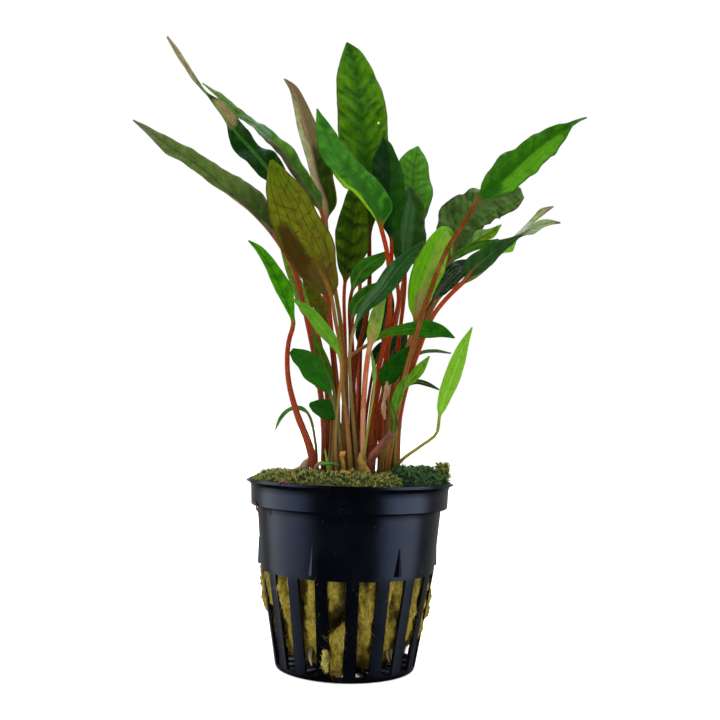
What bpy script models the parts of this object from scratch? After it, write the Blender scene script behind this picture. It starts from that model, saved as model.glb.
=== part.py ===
"""Potted cryptocoryne: a bunch of long-stalked leaves in a small black net pot.

The pot stands on Z = 0 with its axis on the Z axis. The photographed side faces -Y and +X is the
photograph's right. Sizes below are in millimetres, and objects are made in metres.
"""
import math

import bmesh
import bpy
import numpy as np

MM = 0.001
GAP = 0.3

# net pot
POT_HEIGHT = 49.0
RIM_RADIUS = 28.0
BASE_RADIUS = 18.7
WALL = 0.8
RIB_COUNT = 18
RIB_WIDTH = 3.2
FIRST_RIB = -86.4
SLOT_BOTTOM = 1.4
SLOT_TOP = 25.8
SLOT_TOP_RADIUS = 23.25
NECK_HEIGHT = 42.4
NECK_RADIUS = 24.8
COLLAR_RADIUS = 26.5
FLOOR_GAP_OUTER = 17.2
FLOOR_GAP_INNER = 9.0
LUG_COUNT = 6
FIRST_LUG = -57.5
LUG_STEP = 61.2
LUG_BOTTOM = 26.9
LUG_TOP = 33.9
LUG_WIDTH = 1.5
LUG_PROUD = 0.8

# filling of the pot
WOOL_CLEARANCE = 1.3
WOOL_TOP = 45.0
CROWN_RADIUS = 15.2
CROWN_FLOOR = 43.5
MOSS_INNER = 15.5
MOSS_OUTER = 25.2
MOSS_CREST = 52.6
FOOT_HEIGHT = 44.0

# leaves
LEAF_THICKNESS = 0.4
WIDE_LEAF = 7.5
ROUND_SIDES = (-1, -0.5, 0, 0.5, 1)
PLAIN_SIDES = (-1, -0.4, 0.4, 1)

BLACK_PLASTIC = ((0.012, 0.014, 0.02), 0.3)
OLIVE_WOOL = ((0.25, 0.2, 0.04), 0.95)
OLIVE_MOSS = ((0.12, 0.15, 0.03), 0.95)
BLUE_MOSS = ((0.02, 0.1, 0.04), 0.95)
BRIGHT_GREEN = ((0.09, 0.25, 0.02), 0.4)
LIME_GREEN = ((0.17, 0.36, 0.03), 0.4)
MID_GREEN = ((0.04, 0.16, 0.02), 0.4)
DARK_GREEN = ((0.01, 0.06, 0.015), 0.35)
OLIVE_GREEN = ((0.08, 0.1, 0.012), 0.4)
PALE_GREEN = ((0.2, 0.24, 0.1), 0.45)
RED_BROWN = ((0.12, 0.02, 0.008), 0.45)


def clear_scene():
    """Remove whatever the open file holds."""
    for thing in list(bpy.data.objects):
        bpy.data.objects.remove(thing, do_unlink=True)


def paint(thing, finish):
    """Give the object its own plain material."""
    colour, roughness = finish
    material = bpy.data.materials.new(thing.name)
    material.use_nodes = True
    shader = material.node_tree.nodes["Principled BSDF"]
    shader.inputs["Base Color"].default_value = (*colour, 1)
    shader.inputs["Roughness"].default_value = roughness
    shader.inputs["Metallic"].default_value = 0.0
    thing.data.materials.append(material)


def place(name, shape, finish, sharp_angle=40):
    """Turn a bmesh in millimetres into a smooth-shaded object in metres."""
    bmesh.ops.scale(shape, vec=(MM, MM, MM), verts=shape.verts)
    mesh = bpy.data.meshes.new(name)
    shape.to_mesh(mesh)
    shape.free()
    thing = bpy.data.objects.new(name, mesh)
    bpy.context.scene.collection.objects.link(thing)
    mesh.shade_smooth()
    mesh.set_sharp_from_angle(angle=math.radians(sharp_angle))
    if finish:
        paint(thing, finish)
    return thing


def rib_angles(radius):
    """Angles of both edges of every rib, at a radius: a rib keeps its width all the way down."""
    half = math.asin(RIB_WIDTH / 2 / radius)
    middles = [math.radians(FIRST_RIB + k * 360 / RIB_COUNT) for k in range(RIB_COUNT)]
    return [middle + side for middle in middles for side in (-half, half)]


def pot_ring(shape, radius, height, angles):
    """One ring of the pot's skin, with a point at both edges of each rib."""
    return [shape.verts.new((radius * math.cos(a), radius * math.sin(a), height)) for a in angles]


def pot_skin():
    """Outer skin of the pot, with the wall's slots and the floor's gaps left open."""
    shape = bmesh.new()
    steps = [
        (FLOOR_GAP_INNER, 0.0, "ribs"),
        (FLOOR_GAP_OUTER, 0.0, "all"),
        (BASE_RADIUS - 0.5, 0.0, "all"),
        (BASE_RADIUS, 0.5, "all"),
        (BASE_RADIUS + 0.2, SLOT_BOTTOM, "ribs"),
        (SLOT_TOP_RADIUS, SLOT_TOP, "all"),
        (NECK_RADIUS, NECK_HEIGHT, "all"),
        (COLLAR_RADIUS, NECK_HEIGHT + 0.2, "all"),
        (COLLAR_RADIUS + 0.2, POT_HEIGHT - 1.2, "all"),
        (COLLAR_RADIUS + 0.7, POT_HEIGHT - 0.5, "all"),
        (RIM_RADIUS, POT_HEIGHT, "end"),
    ]
    rings = []
    for radius, height, _ in steps:
        on_wall = max(radius, BASE_RADIUS - 0.5)
        rings.append(pot_ring(shape, radius, height, rib_angles(on_wall)))
    count = len(rings[0])
    for (lower, upper), (_, _, cover) in zip(zip(rings, rings[1:]), steps):
        for k in range(count):
            if cover == "all" or k % 2 == 0:
                after = (k + 1) % count
                shape.faces.new((lower[k], lower[after], upper[after], upper[k]))
    shape.faces.new(list(reversed(rings[0])))
    return shape


def lug_shapes():
    """Upright wedges that stick out of the wall above the slots, thin at the top."""
    shape = bmesh.new()
    for k in range(LUG_COUNT):
        angle = math.radians(FIRST_LUG + k * LUG_STEP)
        out = np.array([math.cos(angle), math.sin(angle), 0])
        along = np.array([-math.sin(angle), math.cos(angle), 0])
        up = np.array([0, 0, 1])
        foot = out * (SLOT_TOP_RADIUS + 0.1) + up * LUG_BOTTOM
        head = out * (SLOT_TOP_RADIUS + 0.7) + up * LUG_TOP
        corners = [
            foot - out * 0.4 - along * LUG_WIDTH / 2,
            foot - out * 0.4 + along * LUG_WIDTH / 2,
            foot + out * LUG_PROUD,
            head - out * 0.4 - along * LUG_WIDTH / 5,
            head - out * 0.4 + along * LUG_WIDTH / 5,
            head + out * 0.1,
        ]
        a, b, c, d, e, f = (shape.verts.new(corner) for corner in corners)
        for face in ((a, b, c), (f, e, d), (a, d, e, b), (b, e, f, c), (c, f, d, a)):
            shape.faces.new(face)
    bmesh.ops.recalc_face_normals(shape, faces=shape.faces)
    return shape


def make_pot():
    """The pot: its skin thickened inwards, with the lugs joined on."""
    lugs = place("lug_shapes", lug_shapes(), None)
    lugs.hide_render = True
    lugs.display_type = "WIRE"
    pot = place("net_pot", pot_skin(), BLACK_PLASTIC)
    wall = pot.modifiers.new("wall", "SOLIDIFY")
    wall.thickness = WALL * MM
    wall.offset = -1
    wall.use_even_offset = True
    join = pot.modifiers.new("lugs", "BOOLEAN")
    join.operation = "UNION"
    join.solver = "EXACT"
    join.object = lugs


def turned(profile, sides, ripple=0.0):
    """A closed solid turned round the axis, from a profile that starts and ends on it."""
    shape = bmesh.new()
    rings = []
    for radius, height in profile[1:-1]:
        ring = []
        for k in range(sides):
            angle = 2 * math.pi * k / sides
            wavy = radius + ripple * (math.sin(5 * angle + height) + math.sin(9 * angle - height / 3)) / 2
            ring.append(shape.verts.new((wavy * math.cos(angle), wavy * math.sin(angle), height)))
        rings.append(ring)
    for lower, upper in zip(rings, rings[1:]):
        for k in range(sides):
            after = (k + 1) % sides
            shape.faces.new((lower[k], lower[after], upper[after], upper[k]))
    for ring, (_, height) in ((rings[0], profile[0]), (rings[-1], profile[-1])):
        middle = shape.verts.new((0, 0, height))
        for k in range(sides):
            shape.faces.new((ring[k], ring[(k + 1) % sides], middle))
    bmesh.ops.recalc_face_normals(shape, faces=shape.faces)
    return shape


def make_rock_wool():
    """The wedge of rock wool, rounded below, with a shallow hollow on top where the stalks stand."""
    profile = [
        (0, 1.2),
        (8.0, 1.3),
        (14.5, 4.2),
        (18.4, 9.0),
        (SLOT_TOP_RADIUS - WOOL_CLEARANCE, SLOT_TOP),
        (NECK_RADIUS - WOOL_CLEARANCE - 0.1, NECK_HEIGHT),
        (NECK_RADIUS - WOOL_CLEARANCE - 0.1, WOOL_TOP),
        (CROWN_RADIUS, WOOL_TOP),
        (CROWN_RADIUS - 0.4, CROWN_FLOOR),
        (0, CROWN_FLOOR),
    ]
    place("rock_wool_plug", turned(profile, 26, ripple=0.2), OLIVE_WOOL)


def moss_bank(start, end, sides, crest, seed):
    """A lumpy bank of moss on the wool, between two angles round the pot."""
    random = np.random.default_rng(seed)
    profile = [
        (MOSS_INNER, WOOL_TOP + GAP),
        (MOSS_INNER + 0.5, crest - 2.2),
        (0.5 * (MOSS_INNER + MOSS_OUTER), crest),
        (MOSS_OUTER + 0.4, crest - 2.0),
        (MOSS_OUTER, POT_HEIGHT - 2.4),
        (MOSS_OUTER - 0.4, WOOL_TOP + GAP),
    ]
    shape = bmesh.new()
    rings = []
    for k in range(sides + 1):
        angle = math.radians(start + (end - start) * k / sides)
        lump = random.uniform(-0.6, 0.5, len(profile))
        lump[[0, -2, -1]] = 0
        ring = [
            shape.verts.new((radius * math.cos(angle), radius * math.sin(angle), height + rise))
            for (radius, height), rise in zip(profile, lump)
        ]
        rings.append(ring)
    for here, there in zip(rings, rings[1:]):
        for k in range(len(profile)):
            after = (k + 1) % len(profile)
            shape.faces.new((here[k], here[after], there[after], there[k]))
    shape.faces.new(rings[0])
    shape.faces.new(rings[-1])
    bmesh.ops.recalc_face_normals(shape, faces=shape.faces)
    return shape


def smooth_ways(points):
    """Direction of the smooth line through the points, at each of them."""
    steps = np.diff(points, axis=0)
    length = np.linalg.norm(steps, axis=1)
    slope = steps / length[:, None]
    span = np.concatenate([[1.0], length, [1.0]])
    weight = (span[:-1] / (span[:-1] + span[1:]))[:, None]
    ways = np.vstack([slope[:1], slope]) * (1 - weight) + np.vstack([slope, slope[-1:]]) * weight
    ways[0] = slope[0]
    ways[-1] = slope[-1]
    return ways / np.linalg.norm(ways, axis=1)[:, None]


def leaf_rings(points, sides, base, leaf):
    """One ring of points round each given point of a leaf.

    The stalk is round. Beyond the base of the blade the ring flattens into a thin blade with a rib
    below it, as wide to either side as the leaf's own list says.
    """
    ways = smooth_ways(points)
    run = np.concatenate([[0.0], np.cumsum(np.linalg.norm(np.diff(points, axis=0), axis=1))])
    up_stalk = np.clip(run / run[base], 0, 1)[:, None]
    up_blade = np.clip((run - run[base]) / (run[-1] - run[base]), 0, 1)[:, None]
    viewer = np.array([0, -1.0, 0])
    face = viewer - ways * (ways @ viewer)[:, None]
    face /= np.linalg.norm(face, axis=1)[:, None]
    side = np.cross(ways, face)
    turn = math.radians(leaf["turn"])
    upward = face * math.cos(turn) + side * math.sin(turn)
    side = np.cross(ways, upward)
    tube = leaf["foot_radius"] + (leaf["stalk_radius"] - leaf["foot_radius"]) * up_stalk**0.7
    tube = tube * (1 - 0.8 * up_blade)
    flat = (np.arange(len(points)) > base)[:, None]
    fold = math.radians(leaf["fold"])
    u = np.array(ROUND_SIDES if leaf["wide"] else PLAIN_SIDES, float)[None, :]
    half = np.maximum(tube, np.where(u < 0, sides[:, :1], sides[:, 1:]))
    angle = math.pi * (1 - u) / 2
    rise = np.abs(u) * half * math.sin(fold)
    inner = LEAF_THICKNESS * np.minimum(1 - np.abs(u), 0.5)
    rib = 0.7 * tube * (1 - np.abs(u))**2
    wide = np.where(flat, u * half * math.cos(fold), tube * np.cos(angle))
    over = np.where(flat, rise + inner, tube * np.sin(angle))
    under = np.where(flat, rise - inner - rib, -tube * np.sin(angle))
    upper = points[:, None] + side[:, None] * wide[..., None] + upward[:, None] * over[..., None]
    lower = points[:, None] + side[:, None] * wide[..., None] + upward[:, None] * under[..., None]
    return np.concatenate([upper, lower[:, -2:0:-1]], axis=1)


def grow(name, foot, stalk, blade, finish, turn=0, fold=10, stalk_radius=0.7, foot_radius=1.0):
    """One leaf, stalk and blade in one piece.

    The foot is (x, y) on the crown's floor and the stalk a list of points. The blade is a list of
    (x, y, z, left, right) from its base to its tip: a point of the midrib and how wide the blade is
    there on its left and on its right. Turn is the angle that the upper side is turned away from the
    photographed side, and fold lifts both halves of the blade.
    """
    points = np.array([(*foot, FOOT_HEIGHT)] + stalk + [row[:3] for row in blade], float)
    base = len(stalk) + 1
    sides = np.array([(0, 0)] * base + [row[3:] for row in blade], float)
    leaf = {"turn": turn, "fold": fold, "stalk_radius": stalk_radius, "foot_radius": foot_radius,
            "wide": sides.sum(axis=1).max() > WIDE_LEAF}
    rings = leaf_rings(points, sides, base, leaf)
    shape = bmesh.new()
    rows = [[shape.verts.new(point) for point in ring] for ring in rings]
    count = len(rows[0])
    for here, there in zip(rows, rows[1:]):
        for k in range(count):
            after = (k + 1) % count
            shape.faces.new((here[k], there[k], there[after], here[after]))
    shape.faces.new(rows[0])
    shape.faces.new(rows[-1])
    bmesh.ops.recalc_face_normals(shape, faces=shape.faces)
    place(name, shape, finish, sharp_angle=80)


def grow_middle_leaves():
    """Tall leaves that stand in the middle of the bunch."""
    grow("tall_centre_leaf", (2, -3),
         [(0, -0.5, 71), (0.5, 0.5, 80.5), (3.5, 2.5, 96)],
         [(3.5, 4, 115.5, 0.8, 0.8), (3, 4, 126, 3.9, 3.3), (2, 4, 136, 6.9, 6.1),
          (1, 4.5, 144.5, 7, 7.2), (0, 5.5, 153, 6.7, 7.5), (-1, 7, 160, 6.2, 6.5),
          (-2, 8, 166.5, 5.1, 4.5), (-3.5, 9, 171.5, 2.5, 2.8), (-4.5, 9, 174.5, 0.3, 0.3)],
         MID_GREEN, stalk_radius=0.9, foot_radius=1.2)
    grow("pale_left_leaf", (-3, -2.5),
         [(-2, -4, 76.5), (-3.5, -4, 90), (-6, -4, 103.5)],
         [(-8.5, -4, 119, 0.5, 1.1), (-9, -4, 124, 1.1, 3.5), (-11.5, -3.5, 131, 1.3, 4.9),
          (-13, -3, 138, 1.9, 4.6), (-15, -3, 145, 2.2, 3.5), (-17, -4, 151.5, 1.6, 2.2),
          (-19, -6, 155.5, 0.8, 1.3), (-21, -7, 157.5, 0.2, 0.2)],
         PALE_GREEN, stalk_radius=0.8, foot_radius=1.2)
    grow("bright_crossing_leaf", (6, -6),
         [(5.5, -8, 71), (6.5, -9, 78.5), (8.5, -9, 88.5), (9, -11, 103), (8, -11, 110.5)],
         [(6.5, -11, 116, 0.5, 1.3), (5, -11, 120.5, 1.3, 4.7), (2, -11, 125.5, 2.4, 5),
          (-1, -11, 129.5, 3.7, 3.9), (-4.5, -11.5, 133.5, 3.7, 3.4), (-7.5, -12, 138, 3.7, 3.1),
          (-9.5, -13, 142.5, 2.3, 1.8), (-11.5, -13, 147.5, 0.2, 0.2)],
         BRIGHT_GREEN, fold=12, stalk_radius=0.9, foot_radius=1.2)
    grow("dark_upper_leaf", (4.5, 0),
         [(7, -1, 74), (9.5, -1.5, 86.5), (9.5, -3, 101)],
         [(9.5, -4, 113.5, 0.5, 0.5), (9, -4, 120.5, 3.5, 3.2), (8.5, -4, 127, 4.8, 4.3),
          (8.5, -3, 134, 4.9, 3.5), (8, -2, 138, 4.3, 2.4), (7.5, -1.5, 141.5, 2.2, 1.4),
          (6.5, -1, 144, 0.2, 0.2)],
         DARK_GREEN, fold=12, stalk_radius=0.8, foot_radius=1.2)
    grow("olive_centre_leaf", (-1, 0),
         [(-1.5, 1, 71), (-2.5, 0, 89)],
         [(-3, 0, 102.5, 0.5, 0.5), (-2.5, 0, 107.5, 2.5, 2.7), (-2, 0, 112.5, 3.8, 5.2),
          (-1.5, 0, 117.5, 4.6, 4.9), (-1, 0, 123, 3.8, 3.8), (-1.5, 0, 127, 2.2, 2.5),
          (-2, 0, 131, 0.2, 0.2)],
         OLIVE_GREEN, fold=8)
    grow("big_olive_leaf", (1, -11),
         [(-1, -14, 63), (-2.5, -13.5, 73.5), (-3, -15.5, 82.5), (-5, -16, 91.5)],
         [(-6, -17, 96.5, 1, 0.8), (-7, -17, 99.5, 3.3, 2.8), (-9.5, -17.5, 104.5, 5.6, 4.8),
          (-11.5, -18, 109.5, 6.9, 5.9), (-14.5, -18.5, 114.5, 6.9, 5.6),
          (-17, -19, 120, 6.3, 5.3), (-20, -19.5, 125.5, 4, 3.8), (-21.5, -20, 129, 2, 2),
          (-22.5, -20, 131.5, 0.4, 0.4)],
         OLIVE_GREEN, fold=6, stalk_radius=1.0, foot_radius=1.3)
    grow("centre_green_leaf", (1, -6),
         [(0, -5.5, 65.5), (-1, -7, 87)],
         [(-1, -8, 99.5, 0.5, 0.8), (0.5, -8, 104, 2.1, 2.4), (3, -8, 107, 2.1, 2.6),
          (6, -8, 109, 1.3, 2.1), (8.5, -8, 111, 0.2, 0.2)],
         MID_GREEN, fold=8)
    grow("dark_glossy_leaf", (3, -9.5),
         [(1, -11, 60.5), (-0.5, -12.5, 74.5), (-1, -14.5, 83)],
         [(0, -15, 89.5, 0.5, 0.5), (2.5, -15, 94.5, 1.5, 1.3), (6.5, -15, 99, 2.3, 2.3),
          (10, -15, 104, 2.6, 2.8), (13.5, -15, 108.5, 1.5, 2.1), (17.5, -15, 112.5, 0.2, 0.2)],
         DARK_GREEN, fold=12, stalk_radius=0.8)
    grow("small_centre_leaf", (3.5, -6),
         [(1, -7.5, 65.5), (0, -9, 81.5)],
         [(-0.5, -11, 92, 0.5, 0.5), (0, -11, 95.5, 1.6, 2.1), (2, -11, 98, 2.1, 2.1),
          (4, -11, 100, 1.6, 1.6), (6, -11, 102, 0.2, 0.2)],
         MID_GREEN, fold=8, stalk_radius=0.6, foot_radius=0.9)


def grow_left_leaves():
    """Leaves that reach out to the left."""
    grow("far_left_leaf", (-7, -5),
         [(-7.5, -7, 65.5), (-11, -9, 85), (-14, -10, 97), (-16.5, -10, 105.5)],
         [(-20, -10, 111, 0.5, 0.8), (-23.5, -9.5, 115.5, 0.5, 4.7), (-28.5, -9, 120.5, 0.5, 5.5),
          (-34.5, -8, 125.5, 0.8, 4.8), (-40, -6.5, 130.5, 1.9, 3.5), (-46, -5, 135, 1.9, 2.7),
          (-52, -3.5, 139, 2.2, 2.2), (-58, -1.5, 143.5, 1.1, 1.1), (-63, 0, 147, 0.2, 0.2)],
         OLIVE_GREEN, stalk_radius=0.9, foot_radius=1.3)
    grow("twisted_left_leaf", (-5.5, -0.5),
         [(-6, -1.5, 71), (-12.5, -2, 98), (-16.5, -2, 112)],
         [(-21, -2, 127.5, 0.8, 0.8), (-23, -2, 131.5, 2.4, 2.7), (-26, -2, 135, 3.3, 3),
          (-29.5, -2, 139, 3.8, 2.2), (-33, -2, 142.5, 3.3, 3), (-36, -2.5, 146, 0.8, 3.2),
          (-39, -3, 150, 0.5, 2.4), (-42, -3.5, 153.5, 0.4, 0.5), (-45.5, -4, 157.5, 0.5, 0.7),
          (-50, -4.5, 164, 0.8, 0.8), (-53.5, -5, 169, 0.3, 0.3)],
         DARK_GREEN, foot_radius=1.1)
    grow("wavy_left_leaf", (-4, -5),
         [(-4, -6, 71), (-6.5, -7, 92.5), (-8.5, -8, 108)],
         [(-9.5, -8, 120.5, 0.5, 0.5), (-11.5, -8, 125, 2.1, 1.9), (-14.5, -8, 129, 1.6, 2.1),
          (-17.5, -8.5, 133.5, 1.9, 2.4), (-20.5, -9, 137.5, 1.6, 2.1), (-24, -9, 140.5, 1.8, 1.6),
          (-27.5, -9, 143.5, 1.1, 1.3), (-31, -9, 145.5, 0.8, 1.2), (-34.5, -9.5, 148.5, 0.8, 1.1),
          (-38.5, -10, 151.5, 0.5, 0.8), (-42.5, -10, 154.5, 0.2, 0.2)],
         BRIGHT_GREEN, fold=8, stalk_radius=0.8, foot_radius=1.1)
    grow("left_bright_leaf", (-7.5, -8.5),
         [(-11, -11, 59), (-14.5, -12, 67.5), (-17, -12, 77), (-17, -12, 86)],
         [(-16, -12, 90.5, 0.5, 0.5), (-17.5, -12, 95, 1, 1.8), (-19, -12, 99, 1.8, 2.6),
          (-21, -12, 103, 1.8, 2.1), (-23.5, -12, 107, 1.3, 1.6), (-26, -12, 110, 0.8, 1),
          (-28.5, -12, 112, 0.2, 0.2)],
         BRIGHT_GREEN, fold=12, stalk_radius=0.9, foot_radius=1.5)
    grow("centre_light_leaf", (-3, -12),
         [(-4, -16, 63), (-3.5, -18.5, 70.5)],
         [(-3.5, -19, 81.5, 0.5, 0.5), (-5.5, -19.5, 85.5, 1.3, 1.5), (-8, -20, 88.5, 1.8, 1.8),
          (-11.5, -20.5, 92.5, 1.3, 1.5), (-16, -21, 96, 0.2, 0.2)],
         BRIGHT_GREEN)
    grow("dark_oval_leaf", (-1.3, -9.6),
         [(-2.8, -13, 60.5)],
         [(-5.5, -16, 71.5, 0.5, 0.5), (-7.5, -16.5, 75, 2, 1.8), (-10, -16.5, 78, 3.1, 2.8),
          (-12, -16.5, 80.5, 2.8, 2.6), (-14.5, -16.5, 82, 2, 1.8), (-16, -17, 83, 0.8, 0.8)],
         DARK_GREEN, fold=8, foot_radius=0.9)
    grow("small_round_leaf", (-3.8, -9.3),
         [(-3, -10.5, 59)],
         [(-3.5, -12, 65.5, 0.5, 0.5), (-5, -12.5, 67, 2.1, 2.3), (-7.5, -13, 68.5, 2.6, 2.6),
          (-9.5, -14, 69, 1.8, 1.8), (-11, -14.5, 69.5, 0.5, 0.5)],
         DARK_GREEN, fold=8, stalk_radius=0.6, foot_radius=0.8)
    grow("strap_leaf", (-9, -6),
         [(-9.5, -8, 60), (-11, -8, 66)],
         [(-11.5, -9, 67, 0.5, 0.5), (-13.5, -9, 68.5, 0.7, 0.5), (-16.5, -9, 68, 0.5, 0.5),
          (-18.5, -9, 66, 0.5, 0.5), (-20, -9, 62.5, 0.2, 0.2)],
         LIME_GREEN, stalk_radius=0.5, foot_radius=0.7)
    grow("reticulated_leaf", (-7.5, -2.5),
         [(-6.5, -3.5, 65.5), (-8, -4, 79)],
         [(-11.5, -5, 90.5, 0.4, 0.4), (-13.5, -5, 95.5, 1.6, 1.6), (-15.5, -5.5, 100.5, 1.6, 1.9),
          (-18, -6, 106, 1.1, 1.3), (-20.5, -6, 111.5, 0.2, 0.2)],
         PALE_GREEN, fold=8)
    grow("olive_veined_leaf", (-4.5, -7.5),
         [(-4.5, -8, 65.5), (-5.5, -10, 81.5)],
         [(-7, -11, 90, 0.5, 0.5), (-9, -11, 95, 1.8, 1.8), (-11.5, -11, 99, 1.6, 1.6),
          (-14, -12, 102.5, 0.2, 0.2)],
         OLIVE_GREEN, fold=8)
    grow("low_green_leaf", (-5.5, -10.5),
         [(-4.5, -10, 63)],
         [(-4.5, -11.5, 71.5, 0.5, 0.5), (-7, -12, 78.5, 1.6, 1.6), (-9, -12, 83.5, 1.3, 1.3),
          (-11, -12, 88.5, 0.2, 0.2)],
         MID_GREEN, fold=8, stalk_radius=0.6, foot_radius=0.9)


def grow_right_leaves():
    """Leaves that reach out to the right."""
    grow("right_reaching_leaf", (8.5, -8.5),
         [(10.5, -10.5, 60.5), (13, -12.5, 75), (15.5, -15, 86), (19, -16, 98.5), (24, -15, 111.5),
          (28.5, -15, 119)],
         [(31, -15, 123.5, 0.5, 0.5), (34, -15, 126.5, 2.6, 2.8), (37.5, -15, 130, 3.9, 4.6),
          (41.5, -15.5, 133.5, 4.6, 4.4), (45, -16, 137, 3.3, 5.1), (48.5, -16, 140, 2.8, 4.4),
          (52, -16.5, 142.5, 1.5, 2.8), (55, -17, 144.5, 0.5, 0.9), (59, -17, 146, 0.2, 0.2)],
         BRIGHT_GREEN, fold=8, stalk_radius=1.0, foot_radius=1.3)
    grow("rumpled_leaf", (10, 1),
         [(12, 3.5, 71.5), (16.5, 7, 90), (20, 7, 101)],
         [(26, 6.5, 111, 0.8, 0.8), (28.5, 6, 117, 7.3, 3.6), (30.5, 5.5, 122.5, 7.3, 4.2),
          (34, 5.5, 126, 5.9, 5), (38, 6, 129, 4.5, 5.3), (42.5, 6.5, 130.5, 3.4, 5.3),
          (46.5, 7, 132, 1.1, 2.2)],
         MID_GREEN, fold=5, stalk_radius=0.9, foot_radius=1.2)
    grow("arched_bright_leaf", (9, -5.5),
         [(9.5, -7, 63.5), (11, -8, 74), (14, -9, 84.5)],
         [(16, -8.5, 91.5, 0.8, 0.8), (17, -8.5, 96, 2.9, 2.1), (18, -8.5, 101.5, 4, 3.4),
          (20, -9, 107.5, 4.5, 4), (21.5, -9, 112.5, 3.2, 3.4), (23.5, -8, 116.5, 1.9, 2.4),
          (25, -4.5, 117, 1.1, 1.1), (26, -3.5, 111, 0.2, 0.2)],
         LIME_GREEN, fold=6, stalk_radius=0.9, foot_radius=1.3)
    grow("bright_right_leaf", (8.5, 3.5),
         [(11, 6, 71.5), (13, 9, 91.5), (14, 9, 103)],
         [(14, 9.5, 114, 0.6, 0.6), (14.5, 10, 120.5, 2.6, 3.1), (15.5, 10, 126.5, 4.8, 4.8),
          (15.5, 10, 130.5, 5.4, 6), (15.5, 10.5, 136, 5.4, 5.1), (16, 11, 140.5, 4.3, 4),
          (16.5, 11.5, 143.5, 2.3, 2.3), (17, 12, 145.5, 0.3, 0.3)],
         BRIGHT_GREEN, fold=8, stalk_radius=0.8, foot_radius=1.2)
    grow("dark_right_leaf", (8, -2.5),
         [(8.5, 0.5, 74), (10, 1.5, 89.5), (12, 1, 99)],
         [(11.5, 1, 106, 0.5, 0.5), (13, 1, 111, 2.7, 3.8), (13.5, 1, 116, 4.1, 5.8),
          (14, 1.5, 121, 4.4, 4.9), (14.5, 2, 125.5, 3.9, 3.9), (14.5, 2.5, 129, 2.2, 2.2),
          (14.5, 3, 131.5, 0.3, 0.3)],
         DARK_GREEN, stalk_radius=0.8, foot_radius=1.2)
    grow("right_low_leaf", (12.4, -4.2),
         [(12, -6, 60.5), (14, -8, 74), (17, -8.5, 84), (21.5, -8, 95), (26, -8, 100.5)],
         [(29, -8, 103.5, 0.5, 0.5), (31.5, -8, 107, 3.2, 2.1), (35, -8, 110, 2.9, 2.4),
          (38, -8, 112.5, 2.4, 1.6), (41, -8.5, 114.5, 1.1, 1.1), (43.5, -8.5, 116, 0.4, 0.4),
          (46.5, -8, 118, 0.8, 1.6), (49.5, -8, 119.5, 1.2, 1.1), (52, -8, 120, 0.8, 0.7),
          (54.5, -8, 120, 0.2, 0.2)],
         DARK_GREEN, fold=8, stalk_radius=0.9, foot_radius=1.2)
    grow("right_narrow_leaf", (12.5, 0),
         [(13, 1.5, 68.5), (18.5, 1.5, 89.5), (24.5, 0, 101.5), (33, -1, 106)],
         [(39, -2, 112, 0.5, 0.8), (41, -2, 114.5, 0.5, 2.4), (43.5, -2, 117, 0.5, 0.8),
          (48.5, -1.5, 122, 0.7, 0.7), (51, -1, 124.5, 1, 1), (54, -1, 126, 0.2, 0.2)],
         PALE_GREEN, fold=8)
    grow("small_margined_leaf", (11, 4),
         [(13.5, 7, 71.5), (20, 9, 94.5)],
         [(29.5, 10, 114, 0.6, 0.6), (32.5, 10, 116.5, 1.4, 0.6), (35.5, 10, 119, 2.3, 1.1),
          (38, 10.5, 120.5, 1.1, 2), (41.5, 11, 123, 0.2, 0.2)],
         LIME_GREEN, fold=8, stalk_radius=0.6, foot_radius=0.9)
    grow("green_strip_leaf", (13, 3),
         [(14, 4, 71.5), (20.5, 3, 95.5)],
         [(26, 2, 110, 0.6, 0.6), (29.5, 2, 113, 1.1, 1.1), (33, 2, 115, 1.1, 1.4),
          (36.5, 2, 116, 0.8, 1.1), (39.5, 2, 117, 0.2, 0.2)],
         MID_GREEN, fold=8, stalk_radius=0.6, foot_radius=0.9)
    grow("striped_dark_leaf", (10.5, -2),
         [(12, -4, 71.5), (16, -4, 88)],
         [(21, -4, 98.5, 0.5, 0.5), (23, -4, 101.5, 2.2, 1.9), (25.5, -4, 105, 2.7, 2.7),
          (28.5, -4, 108, 2.2, 2.4), (31, -4, 110, 0.3, 0.3)],
         DARK_GREEN, fold=8)
    grow("small_yellow_green_leaf", (11, -8),
         [(11.5, -8.9, 52.5), (13.5, -13.5, 56), (18, -14.5, 59.5), (22, -15, 63)],
         [(22.5, -15, 67, 0.5, 0.5), (23, -15, 69.5, 1.2, 1.2), (24, -15, 73, 1.8, 1.8),
          (25.5, -15, 77, 2.2, 2.1), (27, -15, 81.5, 2.1, 1.9), (28.5, -15, 86, 1.3, 1.2),
          (30.5, -15, 90.5, 0.2, 0.2)],
         LIME_GREEN, fold=8, stalk_radius=0.6, foot_radius=0.8)
    grow("level_dark_leaf", (-1, -7.5),
         [(-2, -9.5, 73.5), (-1, -11.5, 82)],
         [(4.5, -11, 86, 0.5, 0.5), (8, -11, 88.5, 1, 1), (11.5, -11.3, 89.5, 1.3, 1.3),
          (15, -11.6, 90, 1.8, 1.8), (19, -11.5, 90, 2.4, 2.4), (23, -11, 89.5, 1.6, 1.6),
          (26.5, -10.5, 88, 0.2, 0.2)],
         MID_GREEN, fold=8)


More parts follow.
